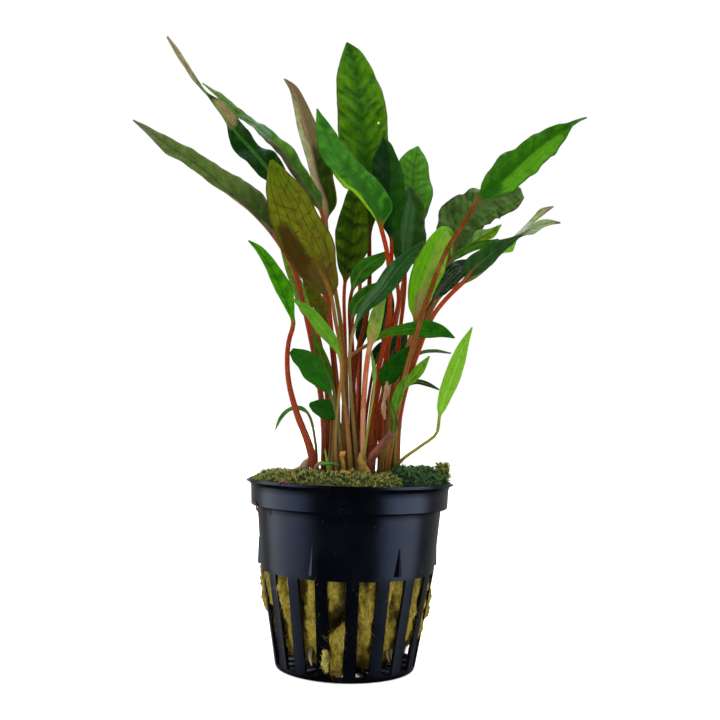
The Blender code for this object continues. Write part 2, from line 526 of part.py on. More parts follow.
def grow_inner_leaves():
    """Small leaves between and below the others, on the photographed side."""
    grow("thin_edge_leaf", (8.5, 0),
         [(10, 1.5, 68.5), (12.5, 0, 78.5)],
         [(15.5, -2, 82.5, 0.4, 0.4), (18.5, -2.2, 84.5, 0.5, 0.5), (22, -2.2, 85, 0.5, 0.5),
          (26.5, -2.2, 84.5, 0.2, 0.2)],
         MID_GREEN, fold=8, stalk_radius=0.5, foot_radius=0.7)
    grow("light_low_leaf", (11.9, -6.3),
         [(11.8, -8, 60.5)],
         [(13.5, -9.5, 74, 0.5, 0.5), (15.5, -9.8, 77, 1.3, 1.3), (17.5, -10, 79.5, 1.4, 1.4),
          (20, -10, 83, 0.2, 0.2)],
         BRIGHT_GREEN, fold=8, stalk_radius=0.5, foot_radius=0.7)
    grow("narrow_dark_leaf", (12.5, -2),
         [(13, -1, 66)],
         [(14.5, -2, 75, 0.4, 0.4), (17, -2, 76.5, 0.7, 0.7), (20, -2, 76, 0.7, 0.7),
          (23.5, -2, 74.5, 0.2, 0.2)],
         DARK_GREEN, fold=8, stalk_radius=0.5, foot_radius=0.7)
    grow("dark_broad_leaf", (5.5, -8.5),
         [(6.5, -10, 60.5)],
         [(8, -11, 73.5, 0.5, 0.5), (9, -11, 77, 2.4, 2.4), (11, -11, 80, 2.6, 2.6),
          (13, -11, 83, 1.8, 1.8), (15, -11.5, 85.5, 0.2, 0.2)],
         DARK_GREEN, fold=8, foot_radius=0.9)
    grow("yellow_edged_leaf", (6.3, -9.9),
         [(8.3, -12.2, 58)],
         [(11, -13.7, 67.5, 0.5, 0.5), (11.5, -13.8, 71, 1.3, 1.3), (12.5, -14.8, 74.5, 1, 1),
          (13.5, -15.5, 77.5, 0.2, 0.2)],
         BRIGHT_GREEN, fold=8, stalk_radius=0.5, foot_radius=0.7)
    grow("pink_rib_leaf", (4.5, -11.5),
         [(3, -12.5, 60.5), (3, -13, 72)],
         [(4, -13, 84, 1, 1), (5, -13.5, 89, 1.8, 1.8), (6, -13, 94, 1.6, 1.8),
          (8, -12, 98.5, 0.2, 0.2)],
         LIME_GREEN, stalk_radius=1.0, foot_radius=1.1)
    grow("dark_inner_leaf", (4, 3),
         [(5.5, 4, 71.5)],
         [(8, 6, 87, 0.6, 0.6), (8.5, 6.5, 92.5, 2, 2), (9.5, 7.5, 98.5, 1.7, 1.7),
          (9.5, 8, 104.5, 0.2, 0.2)],
         DARK_GREEN, fold=8, stalk_radius=0.6, foot_radius=0.9)
    grow("blue_green_leaf", (8, 6),
         [(9.5, 8, 71.5)],
         [(10, 10.5, 83, 0.6, 0.6), (12, 11, 86.5, 2.3, 2.3), (13.5, 11.5, 89.5, 2, 2),
          (15.5, 12, 92.5, 0.2, 0.2)],
         MID_GREEN, fold=8, stalk_radius=0.6, foot_radius=0.9)
    grow("dark_thin_leaf", (1, 2),
         [(2, 3, 71)],
         [(2, 4, 85, 0.6, 0.6), (2, 4, 89.5, 1.7, 1.7), (2.5, 4.5, 93.5, 1.4, 1.4),
          (3.5, 4.5, 98, 0.2, 0.2)],
         DARK_GREEN, fold=8, stalk_radius=0.6, foot_radius=0.9)
    grow("short_dark_leaf", (3, 6),
         [(4.5, 7, 71.5)],
         [(6, 8, 81, 0.6, 0.6), (7, 9, 84.5, 2, 2), (8.5, 9, 87, 1.4, 1.4),
          (9.5, 9.5, 88.5, 0.2, 0.2)],
         DARK_GREEN, fold=8, stalk_radius=0.6, foot_radius=0.9)
    grow("small_olive_leaf", (7.9, -10.9),
         [(8.2, -12, 51), (8.6, -14, 57)],
         [(10.5, -14.3, 61.5, 0.4, 0.4), (11, -14.5, 64.5, 0.9, 0.9), (10.5, -15, 68, 0.8, 0.8),
          (9, -15, 71, 0.2, 0.2)],
         OLIVE_GREEN, fold=8, stalk_radius=0.5, foot_radius=0.7)
    grow("thread_leaf", (2.5, -13),
         [(4.5, -15.5, 66)],
         [(5.5, -16, 74, 0.4, 0.4), (5.5, -16, 78, 0.6, 0.6), (4.5, -16, 83.5, 0.2, 0.2)],
         LIME_GREEN, fold=8, stalk_radius=0.45, foot_radius=0.6)


def grow_back_leaves():
    """Leaves on the far side, which the photograph doesn't show."""
    grow("back_tall_leaf", (2, 9),
         [(1.5, 17, 92), (1.2, 20.5, 113)],
         [(1, 24, 133.5, 0.8, 0.8), (0.5, 27, 143, 4.5, 4.5), (-0.5, 30.5, 154, 5.5, 5.5),
          (-1.5, 34, 165, 4, 4), (-3, 38, 175.5, 0.2, 0.2)],
         MID_GREEN, turn=180, stalk_radius=0.8, foot_radius=1.1)
    grow("back_left_leaf", (-4, 6),
         [(-5, 14.5, 80), (-7.5, 18.5, 93)],
         [(-10, 23, 105.5, 0.8, 0.8), (-13, 28, 115, 4, 4), (-16.5, 33, 125, 5, 5),
          (-19.5, 37.5, 133, 3.5, 3.5), (-22.5, 42, 140.5, 0.2, 0.2)],
         MID_GREEN, turn=180, stalk_radius=0.8, foot_radius=1.1)
    grow("back_right_leaf", (10, 8),
         [(13, 13, 77.5), (18, 16.5, 95)],
         [(24.5, 21, 111.5, 0.8, 0.8), (29, 25, 119, 4, 4), (34, 29.5, 127, 5, 5),
          (39.5, 34, 134, 3.5, 3.5), (45, 38, 140, 0.2, 0.2)],
         DARK_GREEN, turn=180, stalk_radius=0.8, foot_radius=1.1)
    grow("back_upper_leaf", (4.5, 9.7),
         [(10.5, 17, 83.5)],
         [(14.5, 22, 109.5, 0.8, 0.8), (15.5, 26, 118, 3.5, 3.5), (16.2, 30, 127, 4, 4),
          (16.8, 34, 135, 2.5, 2.5), (17, 37, 142, 0.2, 0.2)],
         BRIGHT_GREEN, turn=180, stalk_radius=0.8, foot_radius=1.1)
    grow("back_low_left_leaf", (-8.7, 5.8),
         [(-5, 12.5, 62)],
         [(-6.5, 17, 71.5, 0.6, 0.6), (-8.8, 22.5, 77, 2.9, 2.9), (-11.3, 28, 82, 2.5, 2.5),
          (-14, 33.5, 86.5, 0.2, 0.2)],
         DARK_GREEN, turn=180, stalk_radius=0.6, foot_radius=0.9)
    grow("back_low_right_leaf", (8, 10.5),
         [(8.7, 11.5, 54), (10.3, 16, 63)],
         [(10.5, 20, 72, 0.6, 0.6), (11.5, 25.5, 77.5, 3.5, 3.5), (12.7, 31.5, 82, 3, 3),
          (14, 37, 87, 0.2, 0.2)],
         MID_GREEN, turn=180, stalk_radius=0.6, foot_radius=0.9)


def tube_between(points, radii, sides):
    """A closed round tube through the points, for stumps and shoots."""
    points = np.array(points, float)
    ways = smooth_ways(points)
    side = np.cross(ways, [0, -1.0, 0])
    side /= np.linalg.norm(side, axis=1)[:, None]
    other = np.cross(ways, side)
    shape = bmesh.new()
    rows = []
    for middle, a, b, radius in zip(points, side, other, radii):
        angles = [2 * math.pi * k / sides for k in range(sides)]
        rows.append([shape.verts.new(middle + radius * (a * math.cos(t) + b * math.sin(t))) for t in angles])
    for here, there in zip(rows, rows[1:]):
        for k in range(sides):
            after = (k + 1) % sides
            shape.faces.new((here[k], here[after], there[after], there[k]))
    shape.faces.new(rows[0])
    shape.faces.new(rows[-1])
    bmesh.ops.recalc_face_normals(shape, faces=shape.faces)
    return shape


def make_small_pieces():
    """The cut stalk, the young shoot and the fallen leaf at the foot of the bunch."""
    stump = tube_between([(6.2, -12.1, 44), (5.3, -13.9, 52), (5.3, -14.8, 55.5), (7.5, -16.5, 59),
                          (10.2, -17.5, 62.5)], [0.6, 0.9, 1.1, 1.1, 1.0], 8)
    place("cut_stalk", stump, RED_BROWN, sharp_angle=60)
    shoot = tube_between([(-5.3, -12.6, 44), (-5.6, -13.4, 52.5), (-6.7, -14, 58)], [0.5, 0.5, 0.12], 6)
    place("young_shoot", shoot, LIME_GREEN)
    fallen = tube_between([(-8, -19, 54.3), (-6.5, -18.8, 54.4), (-4, -18.6, 54.4), (-2.5, -18.4, 54.2)],
                          [0.15, 0.5, 0.5, 0.15], 6)
    place("fallen_leaf", fallen, DARK_GREEN)


def build():
    """Make the pot, its filling and everything that grows in it."""
    clear_scene()
    make_pot()
    make_rock_wool()
    place("moss_mat", moss_bank(59, 302, 22, MOSS_CREST, seed=3), OLIVE_MOSS)
    place("moss_cushion", moss_bank(-56.8, 57.8, 11, MOSS_CREST + 1.0, seed=5), BLUE_MOSS)
    grow_middle_leaves()
    grow_left_leaves()
    grow_right_leaves()
    grow_inner_leaves()
    grow_back_leaves()
    make_small_pieces()


build()
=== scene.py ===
import itertools
import math

import bpy
import numpy as np
from mathutils import Matrix


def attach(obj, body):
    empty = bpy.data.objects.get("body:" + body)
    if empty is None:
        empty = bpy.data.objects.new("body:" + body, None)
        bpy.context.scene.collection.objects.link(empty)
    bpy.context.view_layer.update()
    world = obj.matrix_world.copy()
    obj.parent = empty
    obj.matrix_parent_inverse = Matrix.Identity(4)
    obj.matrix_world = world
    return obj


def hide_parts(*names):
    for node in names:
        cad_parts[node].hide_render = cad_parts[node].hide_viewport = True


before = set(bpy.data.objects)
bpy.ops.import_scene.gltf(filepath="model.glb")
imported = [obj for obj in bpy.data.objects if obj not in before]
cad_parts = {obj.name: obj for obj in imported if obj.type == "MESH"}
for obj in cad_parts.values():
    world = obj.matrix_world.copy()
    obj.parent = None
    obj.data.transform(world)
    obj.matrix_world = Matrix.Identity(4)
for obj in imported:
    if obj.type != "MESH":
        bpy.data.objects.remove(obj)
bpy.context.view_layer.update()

# ---------------------------------------------------------------------------------------------
# Net pot: one thin moulding of black polypropylene, eighteen ribs between a base ring and a
# plain wall, with a collar and a flared lip that hangs it in a tray. It stands on its floor.
# Sizes in this file are millimetres until put() turns them into metres.
MM = 0.001
TURN = 2 * math.pi
UP = np.array([0, 0, 1.0])
RIBS = 18
RIB_STEP = TURN / RIBS
FIRST_RIB = math.radians(-86.4)
RIB_WIDTH = 3.2
RIB_CUTS = np.array([-1, -0.5, 0, 0.5, 1])
SLOT_CUTS = np.arange(1, 6) / 6
POT_WALL = 0.8
FOOT_RADIUS = 18.2
# The outside from the floor up, as (radius, height, 1 where only the ribs have a wall).
POT_FOOT = [(9.0, 0.0, 1), (11.0, 0.0, 1), (13.0, 0.0, 1), (15.0, 0.0, 1), (17.2, 0.0, 0),
            (FOOT_RADIUS, 0.0, 0), (18.55, 0.15, 0), (18.7, 0.5, 0), (18.9, 1.4, 1)]
SLOT_TOP = (23.25, 25.8)
WALL_TOP = (24.75, 42.0)
POT_LIP = [(24.9, 42.4, 0), (25.3, 42.55, 0), (26.3, 42.6, 0), (26.5, 42.8, 0), (26.58, 44.5, 0),
           (26.65, 46.2, 0), (26.72, 47.7, 0), (27.05, 48.35, 0), (27.6, 48.75, 0), (28.0, 48.85, 0),
           (28.0, 49.0, 0)]
SLOT_RINGS = 16
WALL_RINGS = 14
POT_BLACK = (0.0012, 0.0014, 0.0024)
POT_SHEEN = (0.44, 0.60, 1.0, 1)
DUST = (0.035, 0.035, 0.035)


class Wire:
    """A value on its way through a finish: each operator adds the node that works it out."""

    def __init__(self, tree, socket=None):
        self.tree, self.socket = tree, socket

    def add(self, kind, settings=None, sockets=None, out=0):
        """A node of any kind: its settings first, then its sockets' values or wires."""
        node = self.tree.nodes.new(kind)
        for name, value in (settings or {}).items():
            setattr(node, name, value)
        for name, value in (sockets or {}).items():
            if isinstance(value, Wire):
                self.tree.links.new(value.socket, node.inputs[name])
            elif node.inputs[name].type == "RGBA":
                node.inputs[name].default_value = (*value[:3], 1)
            else:
                node.inputs[name].default_value = value
        return Wire(self.tree, node.outputs[out] if node.outputs else None)

    def maths(self, operation, first, second=0.0):
        return self.add("ShaderNodeMath", {"operation": operation}, {0: first, 1: second})

    def __add__(self, other):
        return self.maths("ADD", self, other)

    def __radd__(self, other):
        return self.maths("ADD", other, self)

    def __sub__(self, other):
        return self.maths("SUBTRACT", self, other)

    def __rsub__(self, other):
        return self.maths("SUBTRACT", other, self)

    def __mul__(self, other):
        return self.maths("MULTIPLY", self, other)

    def __rmul__(self, other):
        return self.maths("MULTIPLY", other, self)

    def __truediv__(self, other):
        return self.maths("DIVIDE", self, other)

    def __pow__(self, other):
        return self.maths("POWER", self, other)

    def __abs__(self):
        return self.maths("ABSOLUTE", self)

    def part(self, axis):
        """One of the three numbers of a vector."""
        return self.add("ShaderNodeSeparateXYZ", None, {0: self}, axis)

    def step(self, low, high):
        """0 at low, 1 at high, and a smooth rise between them."""
        return self.add("ShaderNodeMapRange", {"interpolation_type": "SMOOTHSTEP"},
                        {0: self, 1: low, 2: high})

    def blend(self, first, second):
        """The first colour where this mask is 0, the second where it is 1."""
        return self.add("ShaderNodeMix", {"data_type": "RGBA"}, {0: self, 6: first, 7: second}, 2)

    def stretch(self, by):
        """This vector times (x, y, z)."""
        return self.add("ShaderNodeVectorMath", {"operation": "MULTIPLY"}, {0: self, 1: by})

    def shift(self, by):
        """This vector moved by a value, the same along all three axes."""
        return self.add("ShaderNodeVectorMath", {"operation": "ADD"}, {0: self, 1: by})

    def noise(self, size, detail=2.0):
        """Soft random lumps of about that size, around 0.5."""
        return self.add("ShaderNodeTexNoise", None, {"Vector": self, "Scale": 1 / size, "Detail": detail})

    def cells(self, size):
        """Distance from the nearest border between random cells of about that size."""
        return self.add("ShaderNodeTexVoronoi", {"feature": "DISTANCE_TO_EDGE"},
                        {"Vector": self, "Scale": 1 / size})

    def spots(self, size):
        """Distance from the nearest of many random points, one for each lump of that size."""
        return self.add("ShaderNodeTexVoronoi", None, {"Vector": self, "Scale": 1 / size})


def new_finish(name):
    """An empty material, and the wire that its nodes start from."""
    material = bpy.data.materials.new(name)
    material.use_nodes = True
    material.node_tree.nodes.clear()
    return material, Wire(material.node_tree)


def end_finish(start, height, bump, **sockets):
    """The surface shader at the end of a finish, with its relief: bump is how far the relief reaches, in mm,
    and each socket is named with _ for a space."""
    normal = start.add("ShaderNodeBump", None, {"Strength": 1.0, "Distance": bump * MM, "Height": height})
    named = {name.replace("_", " "): value for name, value in sockets.items()}
    skin = start.add("ShaderNodeBsdfPrincipled", None, {**named, "Normal": normal})
    start.add("ShaderNodeOutputMaterial", None, {"Surface": skin})


def shaded(colour, by):
    """A colour made darker or lighter by one factor."""
    return tuple(by * c for c in colour)


def put(name, points, faces, finish, slot, node=None, **numbers):
    """A mesh in the frame, from points in mm. numbers are kept on its points for the finish to read."""
    mesh = bpy.data.meshes.new(name)
    mesh.from_pydata((points.reshape(-1, 3) * MM).tolist(), [], faces)
    for label, values in numbers.items():
        vector = values.ndim == 2
        kept = mesh.attributes.new(label, "FLOAT_VECTOR" if vector else "FLOAT", "POINT")
        kept.data.foreach_set("vector" if vector else "value", values.astype(np.float32).ravel())
    mesh.shade_smooth()
    mesh.materials.append(finish)
    piece = bpy.data.objects.new(name, mesh)
    bpy.context.scene.collection.objects.link(piece)
    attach(piece, "root")
    if node:
        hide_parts(node)
    return piece


def ring_quads(rows, columns):
    """The numbers of the points on closed rings, those of their neighbours along the ring, and the
    quads from each ring to the next."""
    here = np.arange(rows * columns).reshape(rows, columns)
    after = np.roll(here, -1, axis=1)
    return here, after, np.stack([here[:-1], after[:-1], after[1:], here[1:]], axis=-1)


def round_axis(radius, angle, height):
    """Points at those radii, angles and heights round the pot's axis."""
    return np.stack(np.broadcast_arrays(radius * np.cos(angle), radius * np.sin(angle), height), axis=-1)


def pot_skin():
    """Rings of points up the pot: ring i has the profile's radius and height, and its columns are
    each rib's middle angle plus or minus the angle that half its width takes up at that radius.
    Only the rib columns have faces beside the slots and on the floor's open ring."""
    slots = np.linspace(POT_FOOT[-1], (*SLOT_TOP, 1), SLOT_RINGS)[1:-1]
    wall = np.linspace((*SLOT_TOP, 0), (*WALL_TOP, 0), WALL_RINGS)
    radius, height, ribs_only = np.vstack([POT_FOOT, slots, wall, POT_LIP]).T[:, :, None]
    half = np.arcsin(RIB_WIDTH / 2 / np.maximum(radius, FOOT_RADIUS))[:, :, None]
    middle = (FIRST_RIB + RIB_STEP * np.arange(RIBS))[None, :, None]
    on_rib = middle + half * RIB_CUTS
    on_slot = middle + half + (RIB_STEP - 2 * half) * SLOT_CUTS
    angle = np.concatenate([on_rib, on_slot], axis=2).reshape(len(radius), -1)
    columns = angle.shape[1]
    here, _, quads = ring_quads(*angle.shape)
    rib_column = np.arange(columns) % (len(RIB_CUTS) + len(SLOT_CUTS)) < len(RIB_CUTS) - 1
    kept = (ribs_only[:-1] == 0) | rib_column
    return round_axis(radius, angle, height), quads[kept].tolist() + [here[0][::-1].tolist()]


def pot_finish():
    """Satin black plastic: a fine moulded grain, faint upright draw marks and a little dust."""
    finish, start = new_finish("moulded black plastic")
    place = start.add("ShaderNodeTexCoord", out="Object")
    grain = place.noise(0.35 * MM, 3)
    cloud = place.noise(9 * MM, 3).step(0.35, 0.7)
    drawn = place.stretch((1, 1, 0.06)).noise(0.5 * MM, 2)
    speck = place.spots(1.6 * MM)
    dust = (1 - speck.step(0.06, 0.13)) * place.noise(4 * MM).step(0.52, 0.62)
    colour = (dust * 0.55).blend(cloud.blend(POT_BLACK, shaded(POT_BLACK, 1.7)), DUST)
    end_finish(start, grain * 0.4 + drawn * 0.4 + cloud * 0.8, 0.02, Base_Color=colour,
               Roughness=0.2 + cloud * 0.08 + dust * 0.3, Specular_Tint=POT_SHEEN, Specular_IOR_Level=0.33)
    return finish


def finish_edges(piece, thickness, width, angle=32):
    """Walls given their thickness inwards, where there is one, and every sharp edge a small round."""
    if thickness:
        wall = piece.modifiers.new("wall", "SOLIDIFY")
        wall.thickness, wall.offset, wall.use_even_offset = thickness * MM, -1, True
    edge = piece.modifiers.new("edges", "BEVEL")
    edge.width, edge.segments, edge.limit_method = width * MM, 2, "ANGLE"
    edge.angle_limit = math.radians(angle)
    edge.harden_normals = True


black_plastic = pot_finish()
pot = put("pot_moulding", *pot_skin(), black_plastic, "pot_plastic", "net_pot")
finish_edges(pot, thickness=POT_WALL, width=0.13)

# Stacking lugs: small upright wedges moulded on the wall, thin at the top, that keep stacked pots
# from jamming. A lug's corners are given as (outwards, aside, height).
LUGS = 6
LUG_ANGLES = np.radians(-57.5 + 61.2 * np.arange(LUGS))[:, None]
LUG_CORNERS = np.array([(22.9, -1.75, 26.9), (22.9, 1.75, 26.9), (24.25, 0, 26.9),
                        (23.7, -0.5, 33.9), (23.7, 0.5, 33.9), (24.2, 0, 33.9)])


def lug_wedges():
    """The same six corners turned round the pot in equal steps."""
    out = round_axis(1.0, LUG_ANGLES, 0)
    along = out[..., [1, 0, 2]] * (-1, 1, 0)
    points = out * LUG_CORNERS[:, :1] + along * LUG_CORNERS[:, 1:2] + UP * LUG_CORNERS[:, 2:]
    sides = [(0, 1, 2), (5, 4, 3), (0, 3, 4, 1), (1, 4, 5, 2), (2, 5, 3, 0)]
    return points, [tuple(len(LUG_CORNERS) * k + c for c in face) for k in range(LUGS) for face in sides]


lugs = put("stacking_lugs", *lug_wedges(), black_plastic, "pot_plastic")
finish_edges(lugs, thickness=0, width=0.1, angle=12)

# ---------------------------------------------------------------------------------------------
# Rock wool: a wedge of olive-yellow mineral wool pushed down into the pot. It is felted from fine
# strands, swells out between the ribs, and has torn open at the front, where a lower lump hangs.
WOOL_PROFILE = np.array([(0.3, 1.2), (8, 1.3), (14.5, 4.2), (18.4, 9.0), (21.95, 25.8), (23.2, 42.2),
                         (23.2, 44.6), (22.6, 45.0), (15.4, 45.0), (15.0, 43.8), (14.2, 43.5), (0.3, 43.5)])
WOOL_SIDES = 400
WOOL_STEP = 0.5
WOOL_FLOOR = 0.3
WOOL_SIDE = 16                    # radius from which it can swell out between the ribs
SWELL = 0.75
SIDE_SWELL = 0.75                 # what the swell gains at the left and right
SWELL_HEIGHT = 17
SWELL_REACH = 13
FRONT_SLOT = FIRST_RIB - RIB_STEP / 2
TEAR_HEIGHT = 15.2
TEAR_SLOPE = 16.4                 # mm that the tear climbs for each radian to the right
TEAR_DEPTH = 3.4
LUMP_HALF = 0.108                 # radians from the lower lump's middle to its side
LUMP_HEIGHTS = (1.25, 15)
LUMP_RADIUS = 19.0
LUMP_FLARE = 0.144                # what its radius gains for each mm of height
LUMP_BELOW_TEAR = 2.6
UNDER_WALL = 26.5                 # height at which the wall above the slots shades it
WOOL_LIT = (0.265, 0.205, 0.028)
WOOL_PAINTED_SHADE = (0.022, 0.014, 0.002)
WOOL_BROWN = (0.075, 0.045, 0.006)


def lumps(points, size, seed, count=16):
    """Smooth random heights of about 1: plane waves of about one size, in ways that the seed sets."""
    random = np.random.default_rng(seed)
    way = random.normal(size=(count, 3))
    way *= (TURN / size * random.uniform(0.6, 1.5, count) / np.linalg.norm(way, axis=1))[:, None]
    return np.sin(points @ way.T + random.uniform(0, TURN, count)).sum(-1) * math.sqrt(2 / count)


def near(value, middle, reach):
    """1 at the middle, falling softly to 0 at the reach on either side."""
    return np.exp(-((value - middle) / reach)**2 * 2)


def run_along(points):
    """How far along the line each of its points is."""
    return np.concatenate([[0.0], np.cumsum(np.linalg.norm(np.diff(points, axis=0), axis=1))])


def profile_points(profile, spacing):
    """Radii and heights of a profile cut into equal steps of about that spacing."""
    run = run_along(profile)
    at = np.linspace(0, run[-1], int(run[-1] / spacing))
    return np.interp(at, run, profile[:, 0]), np.interp(at, run, profile[:, 1])


def with_ends(rings):
    """The rings' points in one list, with the middle of the first and of the last ring after them."""
    return np.vstack([rings.reshape(-1, 3), rings[0].mean(0), rings[-1].mean(0)])


def closed(rings):
    """Points and faces of a closed skin: quads between rings of points, and a fan over each end ring."""
    rows, columns = rings.shape[:2]
    here, after, quads = ring_quads(rows, columns)
    first = np.stack([after[0], here[0], np.full(columns, rows * columns)], axis=-1)
    last = np.stack([here[-1], after[-1], np.full(columns, rows * columns + 1)], axis=-1)
    return with_ends(rings), quads.reshape(-1, 4).tolist() + first.tolist() + last.tolist()


def wool_shape():
    """The profile turned round the axis: radius + swell between the ribs + folds + felted lumps, less
    the tear at the front. The swell is a squared sine from rib to rib, fades at both ends and is
    fullest at the left and right. Below the tear the wool hangs down and fills its slot. The second
    result is the painted shade at each point, from 0 to 1: lower, as painted light, where the wool swells out
    and on the lower lump's top rim; higher, as painted shade, in and just over the tear, beside the ribs and
    under the wall above the slots."""
    radius, height = (line[:, None] for line in profile_points(WOOL_PROFILE, WOOL_STEP))
    angle = np.linspace(0, TURN, WOOL_SIDES, endpoint=False)[None, :]
    plain = round_axis(radius, angle, height)
    between = np.sin((angle - FIRST_RIB) * RIBS / 2)**2
    beside_slots = near(height, SWELL_HEIGHT, SWELL_REACH) * (radius > WOOL_SIDE)
    fold = lumps(plain * (1, 1, 0.12), size=4.6, seed=3)
    felt = 0.22 * fold + 0.14 * lumps(plain * (1, 1, 0.35), size=2.0, seed=4) \
        + 0.07 * lumps(plain, size=0.9, seed=5)
    at_sides = near(np.abs(np.cos(angle)), 1, 0.06)
    swell = beside_slots * between * (SWELL + 0.3 * fold + SIDE_SWELL * at_sides)
    outside = np.clip((radius - 6) / 10, 0, 1)
    aside = (angle - FRONT_SLOT + math.pi) % TURN - math.pi
    torn_at = TEAR_HEIGHT + TEAR_SLOPE * aside
    tear = near(aside, 0.03, 0.17) * near(height, torn_at, 1.5 + 5 * np.clip(aside, 0, 0.1)) * TEAR_DEPTH
    fills = np.clip((LUMP_HALF - np.abs(aside)) / 0.03, 0, 1)
    fills = fills * (height > LUMP_HEIGHTS[0]) * (height < LUMP_HEIGHTS[1])
    hang = fills * np.clip(LUMP_RADIUS + LUMP_FLARE * height + 0.5 * near(height, 11, 3) - radius, 0, 9)
    grown = radius + outside * (swell * (1 - fills) + felt * (1 + beside_slots) - tear) + hang
    low = (height < 9) & (radius < 19.5)
    sunk = height + np.where(low, lumps(plain, size=4.0, seed=6) * 0.4, 0) * (1 - fills)
    rings = round_axis(grown, angle, np.maximum(sunk, WOOL_FLOOR))
    # From here on this paints light and shade into the wool's colour: shade in the tear, just over it, beside
    # the ribs and under the wall above the slots; light where the wool swells out and on the lower lump's top
    # rim.
    over_tear = near(aside, 0.02, 0.25) * np.exp(-np.clip(height - torn_at, 0, 20) / 3.0)
    over_tear = over_tear * (height > torn_at - 1)
    rim_of_lump = near(aside, 0, 0.2) * near(height, torn_at - LUMP_BELOW_TEAR, 1.6)
    under_wall = near(height, UNDER_WALL, 3.0) * beside_slots
    depth = 0.46 - 0.26 * (swell + 1.9 * felt - tear) + 0.55 * (1 - between)**2 * beside_slots
    depth = depth + 0.75 * over_tear + 0.4 * under_wall - 0.5 * rim_of_lump
    return rings, np.clip(depth, 0, 1)


def wool_finish(name, lit=WOOL_LIT):
    """Felted mineral wool: fine upright strands, with painted light where it stands out and a dark brown
    painted shade in its hollows, in its tear and under the wall.
    """
    finish, start = new_finish(name)
    place = start.add("ShaderNodeTexCoord", out="Object")
    depth = start.add("ShaderNodeAttribute", {"attribute_name": "depth"}, out="Fac")
    leaning = place.shift((place.noise(5 * MM, 1) - 0.5) * 9 * MM)
    strand = leaning.stretch((1, 1, 0.22)).noise(0.5 * MM, 4)
    felt = place.noise(1.3 * MM, 4)
    stain = place.stretch((1, 1, 0.5)).noise(5 * MM, 3).step(0.54, 0.7)
    low = place.part(2).step(12 * MM, 2 * MM)
    light = (strand * 0.9 + felt * 0.4).step(0.50, 0.80).blend(shaded(lit, 0.5), shaded(lit, 1.12))
    # Painted shade: the wool turns dark brown where the number on its points is high.
    colour = depth.step(0.34, 0.80).blend(light, WOOL_PAINTED_SHADE)
    colour = (stain * 0.45 + low * 0.85 * felt.step(0.35, 0.58)).blend(colour, WOOL_BROWN)
    end_finish(start, strand + felt * 0.8, 0.4, Base_Color=colour, Roughness=0.85 + felt * 0.1,
               Specular_IOR_Level=0.12)
    return finish


olive_wool = wool_finish("felted olive wool")
# wool_shape also gives the painted shade that the finish reads.
wool_rings, wool_depth = wool_shape()
put("wool_wedge", *closed(wool_rings), olive_wool, "rock_wool", "rock_wool_plug",
    depth=np.concatenate([wool_depth.ravel(), [0.5, 0.5]]))

# Loose strands of the same wool, which lie on the wedge; a few stand away from it.
WOOL_STRANDS = 6800
STRAND_LENGTH = 2.3
STRAND_RADIUS = 0.034
STRANDS_BETWEEN = (0.14, 0.6)     # shares of the wedge's rings, from its middle underneath outwards
STRANDS_STANDING = 0.045          # share of them that stand away
STRAND_RINGS = 5
STRAND_SIDES = 3
STRAND_FLOOR = 0.15


def unit(vectors):
    """Vectors of length 1 that point the same ways."""
    return vectors / np.linalg.norm(vectors, axis=-1, keepdims=True)


def strands(roots, ways, length, thick, lean, seed):
    """Fine three-sided strands: strand k runs from its root along its way, bent by two random waves,
    and thins to its end. Gives points and faces."""
    random = np.random.default_rng(seed)
    count = len(roots)
    t = np.linspace(0, 1, STRAND_RINGS)[None, :, None]
    side = unit(np.cross(ways, random.normal(size=(count, 3))))
    other = np.cross(ways, side)
    long = length * random.uniform(0.5, 1.5, (count, 1, 1))
    wave = np.sin(t * random.uniform(2, 5, (count, 1, 1))) * lean * random.uniform(-1, 1, (count, 1, 1))
    middle = roots[:, None] + ways[:, None] * long * t + side[:, None] * wave * long
    middle = middle + other[:, None] * t**2 * lean * long * random.uniform(-1, 1, (count, 1, 1))
    corner = (TURN * np.arange(STRAND_SIDES) / STRAND_SIDES)[:, None]
    ring = side[:, None, None] * np.cos(corner) + other[:, None, None] * np.sin(corner)
    points = middle[:, :, None] + ring * (thick * (1.15 - t))[..., None]
    here, _, quads = ring_quads(STRAND_RINGS, STRAND_SIDES)
    ends = np.stack([here[0][::-1], here[-1]])
    offset = (np.arange(count) * here.size)[:, None, None]
    quads = (quads.reshape(-1, 4) + offset).reshape(-1, 4)
    return points, quads.tolist() + (ends + offset).reshape(-1, STRAND_SIDES).tolist()


def wool_strands():
    """Strands on the wool's skin: they lean together, by a smooth random amount from place to place.
    Each carries the painted shade of the wool under it, a little lighter on the whole and a bit off."""
    random = np.random.default_rng(11)
    count = WOOL_STRANDS
    rows, columns = wool_rings.shape[:2]
    i = random.integers(*(int(rows * share) for share in STRANDS_BETWEEN), count)
    k = random.integers(0, columns, count)
    root = wool_rings[i, k]
    out = root * (1, 1, 0) / np.linalg.norm(root[:, :2], axis=1)[:, None]
    around = np.cross(UP, out)
    lean = 0.75 * lumps(root, size=7.0, seed=13)[:, None] + random.normal(0, 0.35, (count, 1))
    stands = random.uniform(0, 1, (count, 1)) > 1 - STRANDS_STANDING
    way = UP * random.choice([-1, 1], (count, 1)) + around * lean
    way = way + out * np.where(stands, 0.5, random.uniform(-0.02, 0.10, (count, 1)))
    points, faces = strands(root + out * 0.04, unit(way), STRAND_LENGTH, STRAND_RADIUS, lean=0.12, seed=12)
    points[..., 2] = np.maximum(points[..., 2], STRAND_FLOOR)
    # The strands take the wool's painted shade, a little lighter on the whole.
    depth = np.clip(wool_depth[i, k] * 0.9 + random.normal(-0.10, 0.14, count), 0, 1)
    return points, faces, np.repeat(depth, STRAND_RINGS * STRAND_SIDES)


strand_points, strand_faces, strand_depth = wool_strands()
put("wool_strands", strand_points, strand_faces, olive_wool, "rock_wool", depth=strand_depth)

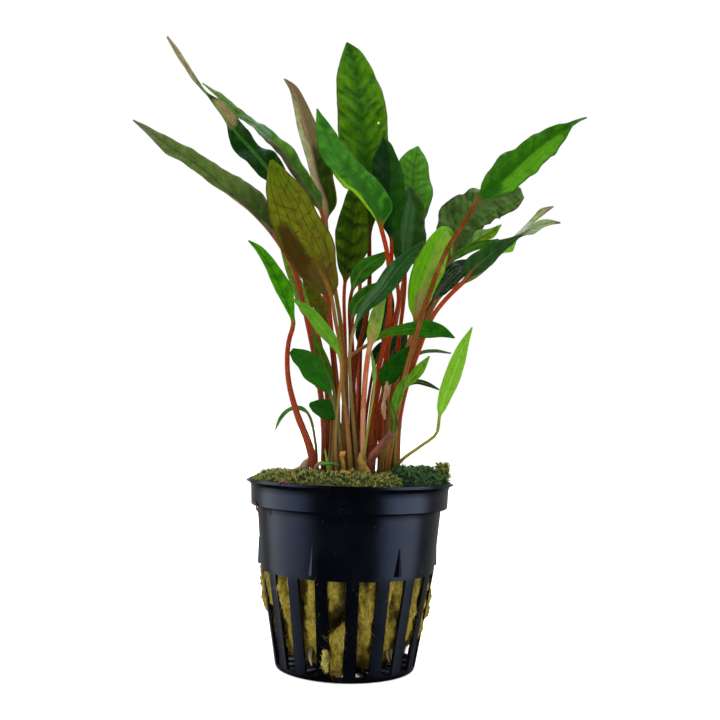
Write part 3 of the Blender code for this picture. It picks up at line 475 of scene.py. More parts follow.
# ---------------------------------------------------------------------------------------------
# Moss: two living cushions that grow on the wool and fill the lip. The olive mat goes round the
# front, the left and the back; the darker blue-green cushion is on the right. Each is a lumpy bed
# with thousands of small leafy shoots.
MOSS_PROFILE = np.array([(15.5, 45.3), (15.6, 47.5), (16.4, 50.2), (18.4, 51.9), (20.6, 52.4), (23.0, 51.9),
                         (25.0, 50.8), (25.7, 49.6), (25.4, 47.6), (24.8, 45.3), (15.5, 45.3)])
MOSS_MIDDLE = (20.4, 47.3)
MOSS_FOOT = 46.5                  # height up to which the bank stays plain
MOSS_RISE = 5                     # and how far above it the lumps reach their full height
MOSS_STEP = 0.55
ROWS_PER_DEGREE = 1.1
END_ROWS = 4
SHOOTS_FROM = 47.6
# A shoot's measures are shares of its height.
STEM_RADIUS = 0.09
SCALES = 7
SCALE_TURN = 2.4                  # radians from one scale to the next
LOWEST_SCALE = 0.12
SCALE_STEP = 0.115
SCALE_WIDTH = 0.07


def moss_bed(start, end, back, front, seed):
    """A closed bank: the profile carried round the pot between two angles, higher by an amount that goes
    from back to front with the square of (1 - sin angle) / 2, lumpy, and drawn in at both ends."""
    radius, height = (line[:-1][None, :] for line in profile_points(MOSS_PROFILE, MOSS_STEP))
    count = int(abs(end - start) * ROWS_PER_DEGREE)
    angle = np.radians(np.linspace(start, end, count))[:, None]
    from_end = np.minimum(np.arange(count), np.arange(count)[::-1])[:, None] / END_ROWS
    full = np.sqrt(np.clip(1 - (1 - np.clip(from_end, 0.06, 1))**2, 0, 1))
    radius = MOSS_MIDDLE[0] + (radius - MOSS_MIDDLE[0]) * full
    height = MOSS_MIDDLE[1] + (height - MOSS_MIDDLE[1]) * full
    plain = round_axis(radius, angle, height)
    up = np.clip((height - MOSS_FOOT) / MOSS_RISE, 0, 1)
    lift = back + (front - back) * (0.5 - 0.5 * np.sin(angle))**2
    grown = (lift + 0.4 * lumps(plain, 6.5, seed) + 0.3 * lumps(plain, 2.8, seed + 1)) * up
    grown = grown + 0.15 * lumps(plain, 1.3, seed + 2) * up
    return plain + UP * (grown * full)[..., None]


def shoot_pattern(leafy):
    """One shoot 1 high: a thin three-sided stem with pointed scales round it, the lowest of which reach
    out as far as leafy. Each scale is a thin wedge of four points."""
    stem = [(STEM_RADIUS * math.cos(a), STEM_RADIUS * math.sin(a), z)
            for z in (0, 0.55) for a in (0, 2.1, 4.2)] + [(0, 0, 1)]
    faces = [(0, 1, 4, 3), (1, 2, 5, 4), (2, 0, 3, 5), (3, 4, 6), (4, 5, 6), (5, 3, 6), (2, 1, 0)]
    points = [np.array(corner) for corner in stem]
    for k in range(SCALES):
        turn, reach = SCALE_TURN * k, leafy * (1 - 0.4 * k / SCALES)
        out = np.array([math.cos(turn), math.sin(turn), 0])
        along = np.array([-math.sin(turn), math.cos(turn), 0])
        foot = UP * (LOWEST_SCALE + SCALE_STEP * k)
        n = len(points)
        points += [foot + along * SCALE_WIDTH, foot - along * SCALE_WIDTH,
                   foot + out * reach + UP * reach * 0.7, foot + out * reach * 0.45 + UP * (reach * 0.1)]
        faces += [(n, n + 1, n + 2), (n + 1, n + 3, n + 2), (n + 3, n, n + 2), (n, n + 3, n + 1)]
    return np.array(points), faces


def shoots(bed, count, tall, leafy, seed):
    """Small moss shoots on the bed, denser where it faces up: one pattern of points is turned, bent and
    scaled for every shoot at once. Gives points, faces, heights along the shoot and shades."""
    random = np.random.default_rng(seed)
    here = bed[:-1]
    normal = np.cross(np.roll(bed, -1, axis=1)[:-1] - here, bed[1:] - here)
    area = np.linalg.norm(normal, axis=-1)
    normal = normal / (area[..., None] + 1e-9)
    normal *= np.sign((normal * (here - (0, 0, 44))).sum(-1).mean())
    weight = (area * np.clip(normal[..., 2] + 0.45, 0, 1) * (here[..., 2] > SHOOTS_FROM)).ravel()
    pick = random.choice(weight.size, count, p=weight / weight.sum())
    root = here.reshape(-1, 3)[pick] + random.normal(0, 0.15, (count, 3))
    way = unit(normal.reshape(-1, 3)[pick] + random.normal(0, 0.42, (count, 3)) + UP * 0.5)
    side = unit(np.cross(way, random.normal(size=(count, 3))))
    other = np.cross(way, side)
    pattern, faces = shoot_pattern(leafy)
    size = tall * random.uniform(0.55, 1.45, (count, 1, 1))
    x, y, z = np.moveaxis(pattern * size, -1, 0)[..., None]
    bend = random.normal(0, 0.25, (count, 1, 1)) * size * pattern[:, 2:]**2
    points = root[:, None] + side[:, None] * (x + bend) + other[:, None] * y + way[:, None] * z
    offset = len(pattern) * np.arange(count)[:, None]
    faces = [face for sides in faces for face in (np.array(sides) + offset).tolist()]
    height = np.tile(pattern[:, 2], count)
    return points.reshape(-1, 3), faces, height, np.repeat(random.uniform(0, 1, (count, 1)), len(pattern))


def moss_finish(name, painted_shade_colour, leaf, tip, second, share):
    """Moss: a painted shade between the shoots and low on them, brighter towards their tips, with patches of
    a second colour.
    """
    finish, start = new_finish(name)
    place = start.add("ShaderNodeTexCoord", out="Object")
    up = start.add("ShaderNodeAttribute", {"attribute_name": "up_shoot"}, out="Fac")
    shade = start.add("ShaderNodeAttribute", {"attribute_name": "shade"}, out="Fac")
    fine = place.noise(0.4 * MM, 3)
    patch = place.noise(3.5 * MM, 3).step(0.62 - share, 0.74 - share)
    green = patch.blend(leaf, second)
    # Painted shade: the colour goes dark towards the shoots' feet and on the bed.
    colour = (up * 0.9 + fine * 0.25 - 0.1).step(0.0, 0.75).blend(painted_shade_colour, green)
    colour = (up.step(0.5, 1.0) * shade.step(0.25, 0.9)).blend(colour, tip)
    end_finish(start, fine, 0.25, Base_Color=colour, Roughness=0.62 + fine * 0.2, Specular_IOR_Level=0.3)
    return finish


def joined(*shapes):
    """Several shapes' points and faces as one: each shape's faces count on from the points before it."""
    points, faces, first = [], [], 0
    for shape_points, shape_faces in shapes:
        points.append(shape_points)
        faces += [[c + first for c in face] for face in shape_faces]
        first += len(shape_points)
    return np.vstack(points), faces


def plant_moss(name, bed, finish, slot, node=None, low=0.12, shade=0.3, **habit):
    """A bed and its shoots, as one piece. low and shade are the bed's own numbers for the finish."""
    bed_skin = closed(bed)
    shoot_points, shoot_faces, heights, shades = shoots(bed, **habit)
    bed_count = len(bed_skin[0])
    put(name, *joined(bed_skin, (shoot_points, shoot_faces)), finish, slot, node,
        up_shoot=np.concatenate([np.full(bed_count, low), heights]),
        shade=np.concatenate([np.full(bed_count, shade), shades]))


# The first colour of each moss is the painted shade between its shoots.
olive_moss = moss_finish("olive moss", painted_shade_colour=(0.018, 0.022, 0.003), leaf=(0.23, 0.25, 0.030),
                         tip=(0.66, 0.62, 0.20), second=(0.085, 0.16, 0.022), share=0.12)
blue_moss = moss_finish("blue-green moss", painted_shade_colour=(0.002, 0.012, 0.003), leaf=(0.013, 0.095, 0.022),
                        tip=(0.17, 0.30, 0.07), second=(0.09, 0.15, 0.02), share=0.12)
plant_moss("moss_front_and_back", moss_bed(59, 302, back=-2.3, front=-0.9, seed=21), olive_moss,
           "olive_moss", "moss_mat", count=4450, tall=1.05, leafy=0.42, seed=30)
plant_moss("moss_right", moss_bed(-56.8, 57.8, back=-0.9, front=0.9, seed=31), blue_moss,
           "blue_moss", "moss_cushion", count=2600, tall=1.15, leafy=0.45, seed=40)

# ---------------------------------------------------------------------------------------------
# Leaves: fifty, each grown in one piece, a round stalk from the crown that flattens into a blade with
# a midrib. Every leaf is given by its foot as (x, y), points along its stalk as (x, y, z), and points
# along its blade as (x, y, z, left, right), with how wide it is on either side.
CROWN_HEIGHT = 44.0
STALK_STEP = 1.7
BLADE_STEP = 0.62
WIDE_LEAF = 4.5
WIDE_CUTS = np.linspace(-1, 1, 23)
NARROW_CUTS = np.linspace(-1, 1, 15)
HALF_THICKNESS = 0.13
EDGE_THICKNESS = 0.015
MARGIN_WAVES = ((2.9, 0.5), (1.25, 0.35), (0.6, 0.2))    # (mm for each radian, share)
RUMPLE_SIZE = 4.2
STALK_THINNER = 0.68   # the real stalks are this much thinner at the top than the solids' sturdy ones
FOOT_THINNER = 0.80    # and this much at the foot
PIGMENT = 1.02
SHEEN = 0.003          # what the leaf's own gloss adds to its colour
MAROON = ((0.20, 0.045, 0.024), (0.23, 0.024, 0.008))
RED = ((0.23, 0.056, 0.014), (0.25, 0.021, 0.003))
DARK_RED = ((0.14, 0.033, 0.010), (0.105, 0.012, 0.003))
OLIVE = ((0.18, 0.125, 0.04), (0.14, 0.095, 0.02))
SALMON = ((0.28, 0.13, 0.038), (0.15, 0.026, 0.004))
CREAM = ((0.52, 0.40, 0.21), (0.36, 0.085, 0.035))
BROWN = ((0.19, 0.10, 0.035), (0.17, 0.05, 0.014))
GREEN_STALK = ((0.24, 0.19, 0.045), (0.16, 0.17, 0.02))
leaf_seeds = itertools.count(1)


def smooth_path(points, at):
    """A smooth curve through the points (extra columns go along): between two points the cubic that
    leaves and arrives with the mean slope there, weighted by the spans. Gives places and ways."""
    run = run_along(points[:, :3])
    slope = np.diff(points, axis=0) / np.diff(run)[:, None]
    span = np.concatenate([[1.0], np.diff(run), [1.0]])
    weight = (span[:-1] / (span[:-1] + span[1:]))[:, None]
    tangent = np.vstack([slope[:1], slope]) * (1 - weight) + np.vstack([slope, slope[-1:]]) * weight
    tangent[0], tangent[-1] = slope[0], slope[-1]
    i = np.clip(np.searchsorted(run, at, side="right") - 1, 0, len(points) - 2)
    h = (run[i + 1] - run[i])[:, None]
    t = (at - run[i])[:, None] / h
    p0, p1, m0, m1 = points[i], points[i + 1], tangent[i] * h, tangent[i + 1] * h
    place = (2 * t**3 - 3 * t**2 + 1) * p0 + (t**3 - 2 * t**2 + t) * m0 \
        + (3 * t**2 - 2 * t**3) * p1 + (t**3 - t**2) * m1
    way = (6 * t**2 - 6 * t) * (p0 - p1) + (3 * t**2 - 4 * t + 1) * m0 + (3 * t**2 - 2 * t) * m1
    return place, unit(way[:, :3])


def soft(value):
    """0 at 0 and below, 1 at 1 and above, and a smooth rise between."""
    value = np.clip(value, 0, 1)
    return value * value * (3 - 2 * value)


def leaf_shape(seed, foot, stalk, blade, turn=0, fold=8, stalk_radius=0.7, foot_radius=0.9, ruffle=0.25,
               wave=9.0, ragged=0.03, quilt=0.12, spacing=4.0, lean=0.8, channel=0.12, crumple=0.05):
    """A ring carried along the midrib. On the stalk it is a circle with a channel in front; past the
    blade's base it turns into upper side: |u| x half width x fold + ruffle x |u|^1.6 x sin(way along /
    wave) + quilt x cos(2 pi v), plus half the thickness; under side: the same less the thickness and a
    rounded rib. crumple is the height of random lumps, and ragged the share by which the margin's
    waves change the width. Side vein number v = (way along - lean |x|) / spacing, slightly wavy."""
    random = np.random.default_rng(seed)
    points = np.array([(*foot, CROWN_HEIGHT, 0, 0)] + [(*p, 0, 0) for p in stalk] + blade, float)
    base = len(stalk) + 1
    given = run_along(points[:, :3])
    start, end = given[base], given[-1]
    cuts = (WIDE_CUTS if points[:, 3:].sum(axis=1).max() > WIDE_LEAF else NARROW_CUTS)[None, :]
    at = np.concatenate([np.linspace(0, start, max(4, int(start / STALK_STEP)), endpoint=False),
                         np.linspace(start, end, max(14, int((end - start) / BLADE_STEP)))])
    place, way = smooth_path(points, at)
    viewer = np.array([0, -1.0, 0])
    face = unit(viewer - way * (way @ viewer)[:, None])
    upward = face * math.cos(math.radians(turn)) + np.cross(way, face) * math.sin(math.radians(turn))
    side = np.cross(way, upward)
    stalk_share = np.clip(at / start, 0, 1)[:, None]
    blade_share = np.clip((at - start) / (end - start), 0, 1)[:, None]
    mm = (at - start)[:, None]
    slim = STALK_THINNER * stalk_radius
    tube = slim + (FOOT_THINNER * foot_radius - slim) * (1 - stalk_share)**2.2
    tube = tube * (1 - 0.8 * blade_share**0.7)
    flat = soft(mm / (0.85 * (given[base + 1] - start)))
    u = np.sign(cuts) * np.abs(cuts)**1.5
    phase = random.uniform(0, TURN, 6)
    left, right = (np.interp(at, given, points[:, c])[:, None] * 0.35 + place[:, c:c + 1] * 0.65
                   for c in (3, 4))
    own = np.where(u < 0, phase[0], phase[1])
    middle_part = np.sin(math.pi * blade_share)**0.5
    wobble = sum(share * np.sin(mm / long + k * own) for k, (long, share) in enumerate(MARGIN_WAVES, 1))
    half = np.where(u < 0, left, right) * (1 + ragged * wobble * middle_part)
    half = np.maximum(np.maximum(tube, half), 0.1)
    x = u * half
    vein = (mm - np.abs(x) * lean) / spacing + 0.15 * np.sin(mm / 2.3 + phase[2] + 1.5 * u)
    vein = vein + 0.12 * np.sin(mm / 1.1 + 3 * u + phase[3]) + 0.1 * np.sign(u)
    bent = math.radians(fold)
    rise = math.sin(bent) * half * (1.25 * np.abs(u) - 0.25 * u**2)
    rise = rise + ruffle * middle_part * np.abs(u)**1.6 * np.sin(TURN * mm / wave + own)
    rise = rise + 0.35 * ruffle * middle_part * np.abs(u) * np.sin(TURN * mm / (0.43 * wave) + 2 * own)
    pillow = np.cos(TURN * vein) * np.sin(math.pi * np.abs(u)**0.8)
    rise = rise + quilt * middle_part * np.minimum(half / 4, 1) * pillow
    laid_flat = np.stack(np.broadcast_arrays(x, mm, 0), axis=-1)
    rumples = lumps(laid_flat, RUMPLE_SIZE, seed + 100, count=9)
    rise = rise + crumple * middle_part * np.minimum(2 * np.abs(u), 1) * rumples
    thick = HALF_THICKNESS * np.sqrt(np.clip(1 - u**2, 0, 1)) + EDGE_THICKNESS
    ridge = 0.75 * tube * np.exp(-(x / (0.95 * tube))**2)
    groove = 0.3 * tube * np.exp(-(x / (0.6 * tube))**2)
    angle = math.pi * (1 - cuts) / 2
    round_over = tube * (np.sin(angle) - channel * np.exp(-(np.cos(angle) / 0.36)**2))
    over = flat * (rise + thick - groove) + (1 - flat) * round_over
    under = flat * (rise - thick - ridge) - (1 - flat) * tube * np.sin(angle)
    aside = flat * x * math.cos(bent) + (1 - flat) * tube * np.cos(angle)
    spine = place[:, None, :3] + side[:, None] * aside[..., None]
    upper, lower = spine + upward[:, None] * over[..., None], spine + upward[:, None] * under[..., None]
    back = slice(-2, 0, -1)
    share = stalk_share - 1 + blade_share
    at_mm, at_share = (np.stack(np.broadcast_arrays(*numbers), axis=-1)
                       for numbers in ((aside, mm, 1.0), (u, share, vein)))
    beneath = at_mm[:, back] * (1, 1, 0)
    return np.concatenate([upper, lower[:, back]], axis=1), \
        with_ends(np.concatenate([at_mm, beneath], axis=1)), \
        with_ends(np.concatenate([at_share, at_share[:, back]], axis=1))


def paler(colour, by, towards=(0.30, 0.32, 0.16)):
    """A colour moved part of the way to a pale grey-green."""
    return tuple((1 - by) * c + by * t for c, t in zip(colour, towards))


def pigment(colour):
    """The paint that shows as this colour in the studio's soft light, with the leaf's sheen on top."""
    return tuple(min(0.95, max(0.0008, PIGMENT * c - SHEEN)) for c in colour)


def leaf_finish(name, main, blotch=None, light=None, vein=None, rib=None, margin=None, under=None, left=None,
                right=None, tip=None, low=None, patches=(), stems=RED, hatch=0.4, lines=0.3, gloss=0.42,
                speckle=0.6, rib_width=0.4, mottle=0.6, rib_run=0.14, shine=0.04):
    """The leaf's colours, laid on in this order: the main green with darker blotches, other colours on
    its left or right half, low down or at its tip, lighter quilts between the side veins, local patches
    as (u, share along, width, length, colour), hatch marks where side veins leave the midrib, hairline
    side veins and long veins, margin and midrib; the under side; then the finely speckled stalk, in the
    colours of its foot and its top, which run up the rib by rib_run of the blade's length, with painted shade
    towards the stalk's sides. On a few leaves a tip, patch or midrib colour is a painted sheen."""
    finish, start = new_finish(name)
    blotch = blotch or shaded(main, 0.55)
    light = light or (1.55 * main[0], 1.4 * main[1], main[2])
    vein = vein or shaded(main, 0.4)
    rib = rib or paler(main, 0.2)
    margin = margin or shaded(main, 0.75)
    under = under or paler(main, 0.17, (0.26, 0.26, 0.11))
    around = start.add("ShaderNodeTexCoord", out="Object")
    at_mm = start.add("ShaderNodeAttribute", {"attribute_name": "leaf_mm"}, out="Vector")
    at_share = start.add("ShaderNodeAttribute", {"attribute_name": "leaf_share"}, out="Vector")
    x, y, upper = (at_mm.part(axis) for axis in range(3))
    u, t, vein_number = (at_share.part(axis) for axis in range(3))
    out, beside_rib = abs(u), abs(x)
    warp = around.noise(5 * MM, 2) - 0.5
    cloud = around.noise(4.0 * MM, 3).step(0.36, 0.66)
    patchy = around.noise(2.2 * MM, 3)
    fine = around.noise(0.55 * MM, 3)
    streak = at_mm.stretch((1.2, 0.16, 1)).noise(1.0, 3)
    near_vein = abs(vein_number.maths("FRACT", vein_number) - 0.5) * 2
    in_blade = t.step(0.0, 0.06) * t.step(1.0, 0.93)
    marks = near_vein.step(0.35, 0.95) * out.step(0.80, 0.15) * patchy.step(0.32, 0.50)
    quilts = near_vein.step(0.75, 0.15) * out.step(0.10, 0.45) * patchy.step(0.40, 0.60) * in_blade
    side_vein = near_vein.step(0.90, 1.0) * in_blade * fine.step(0.30, 0.50)
    bow = out + warp * 0.12
    from_vein = bow.maths("MINIMUM", abs(bow - 0.30), abs(bow - 0.62))
    long_vein = from_vein.step(0.03, 0.004) * in_blade
    net = at_mm.stretch((1, 0.3, 1)).cells(1.3).step(0.09, 0.015) * in_blade * patchy.step(0.42, 0.6)
    on_rib = (beside_rib / (rib_width * (1.25 - t))).step(1.5, 0.15)
    colour = (cloud * mottle + (streak - 0.5) * 0.4 + (patchy.step(0.4, 0.62) - 0.4) * 0.45).blend(
        pigment(main), pigment(blotch))
    for paint, darker, on_half in ((left, 0.8, u.step(0.03, -0.05)), (right, 0.7, u.step(-0.03, 0.05))):
        if paint:
            colour = on_half.blend(colour, cloud.blend(pigment(paint), pigment(shaded(paint, darker))))
    if low:
        colour = (t + warp * 0.3).step(0.5, 0.12).blend(colour, pigment(low))
    if tip:
        colour = (t + warp * 0.2).step(0.72, 0.97).blend(colour, pigment(tip))
    colour = (quilts * hatch).blend(colour, pigment(light))
    colour = (marks * hatch).blend(colour, pigment(vein))
    for middle_u, middle_t, wide, long, paint in patches:
        far = ((u - middle_u) / wide) ** 2.0 + ((t - middle_t) / long) ** 2.0
        colour = (far + warp * 1.2 + (fine - 0.5) * 0.5).step(1.35, 0.45).blend(colour, pigment(paint))
    colour = ((side_vein * 0.6 + long_vein * 0.7 + net * 0.35) * lines).blend(colour, pigment(vein))
    colour = (out.step(0.86, 0.99) * 0.7).blend(colour, pigment(margin))
    colour = (on_rib * (0.75 - 0.35 * t)).blend(colour, pigment(rib))
    beneath = (on_rib * 0.7 + side_vein * 0.3).blend(pigment(under), pigment(rib))
    colour = upper.blend(beneath, colour)
    foot, top = stems
    speck = around.stretch((1, 1, 0.7)).spots(0.36 * MM).step(0.42, 0.16)
    stalk_streak = at_mm.stretch((2.2, 0.08, 1)).noise(1.0, 2).step(0.4, 0.75)
    stalk_cloud = around.stretch((1, 1, 0.5)).noise(3.2 * MM, 2).step(0.45, 0.7)
    stalk = (t + 1).step(0.02, 0.75).blend(pigment(foot), pigment(top))
    stalk = (stalk_streak * 0.3).blend(stalk, pigment(shaded(top, 0.5)))
    stalk = (stalk_cloud * 0.4).blend(stalk, pigment(foot))
    stalk = (speck * speckle).blend(stalk, pigment(paler(foot, 0.4, (0.42, 0.20, 0.05))))
    # Painted shade: the stalk darkens towards its sides, as a round stalk does in soft light.
    stalk = (out.step(0.15, 0.95) * 0.65).blend(stalk, pigment(shaded(top, 0.3)))
    up_the_rib = (beside_rib / (1.1 * rib_width)).step(1.4, 0.4) * t.step(rib_run, 0.0) * 0.9
    on_stalk = up_the_rib.maths("MAXIMUM", up_the_rib, (y + beside_rib * 1.5).step(2.2, -1.6))
    relief = (1 - side_vein * 0.5 - long_vein * 0.4 - on_rib * 0.6) * (1 - on_stalk)
    relief = relief + fine * 0.3 + patchy * 1.1 + (1 - near_vein.step(0.3, 1.0)) * 0.3 * in_blade - net * 0.3
    end_finish(start, relief, 0.16, Base_Color=on_stalk.blend(colour, stalk),
               Roughness=gloss + (fine - 0.5) * 0.25 + cloud * 0.06, Specular_IOR_Level=shine)
    return finish


def leaf(node, slot, foot, stalk, blade, paint, **habit):
    """One leaf in place of its solid: paint is for leaf_finish(), and habit for leaf_shape()."""
    rings, at_mm, at_share = leaf_shape(next(leaf_seeds), foot, stalk, blade, **habit)
    put("fine_" + node, *closed(rings), leaf_finish(node, **paint), slot, node,
        leaf_mm=at_mm, leaf_share=at_share)


# Tall leaves that stand in the middle of the bunch.
leaf("tall_centre_leaf", "mid_leaf", (2, -3),
     [(0, -0.5, 71), (0.5, 0.5, 80.5), (3.5, 2.5, 96)],
     [(3.5, 4, 115.5, 0.8, 0.8), (3, 4, 126, 3.9, 3.3), (2, 4, 136, 6.9, 6.1), (1, 4.5, 144.5, 7, 7.2),
      (0, 5.5, 153, 6.7, 7.5), (-1, 7, 160, 6.2, 6.5), (-2, 8, 166.5, 5.1, 4.5), (-3.5, 9, 171.5, 2.5, 2.8),
      (-4.5, 9, 174.5, 0.3, 0.3)],
     fold=10, stalk_radius=0.9, foot_radius=1.2, ruffle=0.3, wave=7, ragged=0.02, quilt=0.16, spacing=3.9,
     lean=1.0, crumple=0.12,
     paint=dict(main=(0.045, 0.135, 0.002), blotch=(0.016, 0.066, 0.001), light=(0.085, 0.19, 0.003),
                vein=(0.01, 0.045, 0.001), rib=(0.012, 0.06, 0.002), margin=(0.07, 0.13, 0.01),
                low=(0.016, 0.038, 0.002), patches=[(0.65, 0.56, 0.035, 0.006, (0.75, 0.8, 0.3))],
                stems=DARK_RED, hatch=0.6, lines=0.15, mottle=0.9, rib_width=2.0))
leaf("pale_left_leaf", "pale_leaf", (-3, -2.5),
     [(-2, -4, 76.5), (-3.5, -4, 90), (-6, -4, 103.5)],
     [(-8.5, -4, 119, 0.5, 1.1), (-9, -4, 124, 1.1, 3.5), (-11.5, -3.5, 131, 1.3, 4.9),
      (-13, -3, 138, 1.9, 4.6), (-15, -3, 145, 2.2, 3.5), (-17, -4, 151.5, 1.6, 2.2),
      (-19, -6, 155.5, 0.8, 1.3), (-21, -7, 157.5, 0.2, 0.2)],
     fold=16, stalk_radius=0.8, foot_radius=1.2, crumple=0.12,
     paint=dict(main=(0.03, 0.055, 0.004), rib=(0.36, 0.22, 0.14), margin=(0.12, 0.09, 0.03),
                under=(0.25, 0.24, 0.12), left=(0.36, 0.37, 0.18), right=(0.02, 0.04, 0.002),
                tip=(0.12, 0.08, 0.035), patches=[(0.4, 0.72, 0.7, 0.25, (0.13, 0.1, 0.045))], stems=OLIVE,
                lines=0.15, rib_width=0.7))
leaf("bright_crossing_leaf", "bright_leaf", (6, -6),
     [(5.5, -8, 71), (6.5, -9, 78.5), (8.5, -9, 88.5), (9, -11, 103), (8, -11, 110.5)],
     [(6.5, -11, 116, 0.5, 1.3), (5, -11, 120.5, 1.3, 4.7), (2, -11, 125.5, 2.4, 5),
      (-1, -11, 129.5, 3.7, 3.9), (-4.5, -11.5, 133.5, 3.7, 3.4), (-7.5, -12, 138, 3.7, 3.1),
      (-9.5, -13, 142.5, 2.3, 1.8), (-11.5, -13, 147.5, 0.2, 0.2)],
     fold=12, stalk_radius=0.9, foot_radius=1.2, ruffle=0.7, wave=10, ragged=0.07, lean=0.5, crumple=0.15,
     paint=dict(main=(0.036, 0.15, 0.014), blotch=(0.02, 0.095, 0.01), vein=(0.018, 0.07, 0.008),
                rib=(0.025, 0.1, 0.012), low=(0.01, 0.06, 0.004),
                patches=[(-0.95, 0.22, 0.4, 0.3, (0.16, 0.3, 0.012))], hatch=0.6, lines=0.45, mottle=1.0,
                rib_width=0.7, rib_run=0.1))
leaf("dark_upper_leaf", "dark_leaf", (4.5, 0),
     [(7, -1, 74), (9.5, -1.5, 86.5), (9.5, -3, 101)],
     [(9.5, -4, 113.5, 0.5, 0.5), (9, -4, 120.5, 3.5, 3.2), (8.5, -4, 127, 4.8, 4.3),
      (8.5, -3, 134, 4.9, 3.5), (8, -2, 138, 4.3, 2.4), (7.5, -1.5, 141.5, 2.2, 1.4),
      (6.5, -1, 144, 0.2, 0.2)],
     fold=12, stalk_radius=0.8, foot_radius=1.2, quilt=0.06,
     paint=dict(main=(0.008, 0.04, 0.002), rib=(0.006, 0.028, 0.002), left=(0.003, 0.019, 0.001),
                right=(0.012, 0.06, 0.002), hatch=0.3, rib_run=0.1, gloss=0.5))
leaf("olive_centre_leaf", "olive_leaf", (-1, 0),
     [(-1.5, 1, 71), (-2.5, 0, 89)],
     [(-3, 0, 102.5, 0.5, 0.5), (-2.5, 0, 107.5, 2.5, 2.7), (-2, 0, 112.5, 3.8, 5.2),
      (-1.5, 0, 117.5, 4.6, 4.9), (-1, 0, 123, 3.8, 3.8), (-1.5, 0, 127, 2.2, 2.5), (-2, 0, 131, 0.2, 0.2)],
     foot_radius=1.0, lean=0.5,
     paint=dict(main=(0.022, 0.055, 0.002), blotch=(0.02, 0.052, 0.002), light=(0.06, 0.12, 0.004),
                vein=(0.01, 0.022, 0.001), rib=(0.03, 0.04, 0.004), margin=(0.05, 0.05, 0.006),
                right=(0.042, 0.09, 0.003), hatch=1.0, lines=0.9))
leaf("big_olive_leaf", "olive_leaf", (1, -11),
     [(-1, -14, 63), (-2.5, -13.5, 73.5), (-3, -15.5, 82.5), (-5, -16, 91.5)],
     [(-6, -17, 96.5, 1, 0.8), (-7, -17, 99.5, 3.3, 2.8), (-9.5, -17.5, 104.5, 5.6, 4.8),
      (-11.5, -18, 109.5, 6.9, 5.9), (-14.5, -18.5, 114.5, 6.9, 5.6), (-17, -19, 120, 6.3, 5.3),
      (-20, -19.5, 125.5, 4, 3.8), (-21.5, -20, 129, 2, 2), (-22.5, -20, 131.5, 0.4, 0.4)],
     fold=6, stalk_radius=0.75, foot_radius=1.0, quilt=0.2, spacing=5, lean=1.1, crumple=0.1,
     paint=dict(main=(0.09, 0.118, 0.006), blotch=(0.062, 0.075, 0.006), vein=(0.055, 0.022, 0.002),
                rib=(0.1, 0.055, 0.003), margin=(0.085, 0.045, 0.008), low=(0.055, 0.045, 0.007),
                tip=(0.055, 0.105, 0.004), patches=[(-0.62, 0.34, 0.45, 0.26, (0.032, 0.021, 0.004)),
                (-0.2, 0.12, 0.6, 0.16, (0.05, 0.04, 0.008)), (-0.25, 0.5, 0.16, 0.008, (0.09, 0.028, 0.008)),
                (0.45, 0.4, 0.14, 0.006, (0.1, 0.03, 0.008))],
                stems=((0.2, 0.125, 0.04), (0.15, 0.065, 0.014)), hatch=0.25, lines=1.3, mottle=0.8,
                rib_width=0.5, rib_run=0.3, gloss=0.5))
leaf("centre_green_leaf", "mid_leaf", (1, -6),
     [(0, -5.5, 65.5), (-1, -7, 87)],
     [(-1, -8, 99.5, 0.5, 0.8), (0.5, -8, 104, 2.1, 2.4), (3, -8, 107, 2.1, 2.6), (6, -8, 109, 1.3, 2.1),
      (8.5, -8, 111, 0.2, 0.2)],
     foot_radius=1.0,
     paint=dict(main=(0.024, 0.107, 0.006), blotch=(0.012, 0.065, 0.004), stems=DARK_RED))
# On this leaf the whitish midrib line is a painted sheen.
leaf("dark_glossy_leaf", "dark_leaf", (3, -9.5),
     [(1, -11, 60.5), (-0.5, -12.5, 74.5), (-1, -14.5, 83)],
     [(0, -15, 89.5, 0.5, 0.5), (2.5, -15, 94.5, 1.5, 1.3), (6.5, -15, 99, 2.3, 2.3),
      (10, -15, 104, 2.6, 2.8), (13.5, -15, 108.5, 1.5, 2.1), (17.5, -15, 112.5, 0.2, 0.2)],
     fold=12, stalk_radius=0.65, crumple=0.1,
     paint=dict(main=(0.012, 0.052, 0.009), blotch=(0.009, 0.042, 0.008), vein=(0.006, 0.03, 0.006),
                rib=(0.1, 0.15, 0.07), margin=(0.03, 0.06, 0.02),
                patches=[(-0.5, 0.35, 0.35, 0.3, (0.035, 0.09, 0.03))],
                stems=((0.22, 0.165, 0.055), (0.16, 0.1, 0.025)), rib_width=0.2, rib_run=0.1, gloss=0.3,
                shine=0.12))
leaf("small_centre_leaf", "mid_leaf", (3.5, -6),
     [(1, -7.5, 65.5), (0, -9, 81.5)],
     [(-0.5, -11, 92, 0.5, 0.5), (0, -11, 95.5, 1.6, 2.1), (2, -11, 98, 2.1, 2.1), (4, -11, 100, 1.6, 1.6),
      (6, -11, 102, 0.2, 0.2)],
     stalk_radius=0.6,
     paint=dict(main=(0.02, 0.09, 0.004), blotch=(0.012, 0.06, 0.003), stems=DARK_RED, rib_run=0.1))
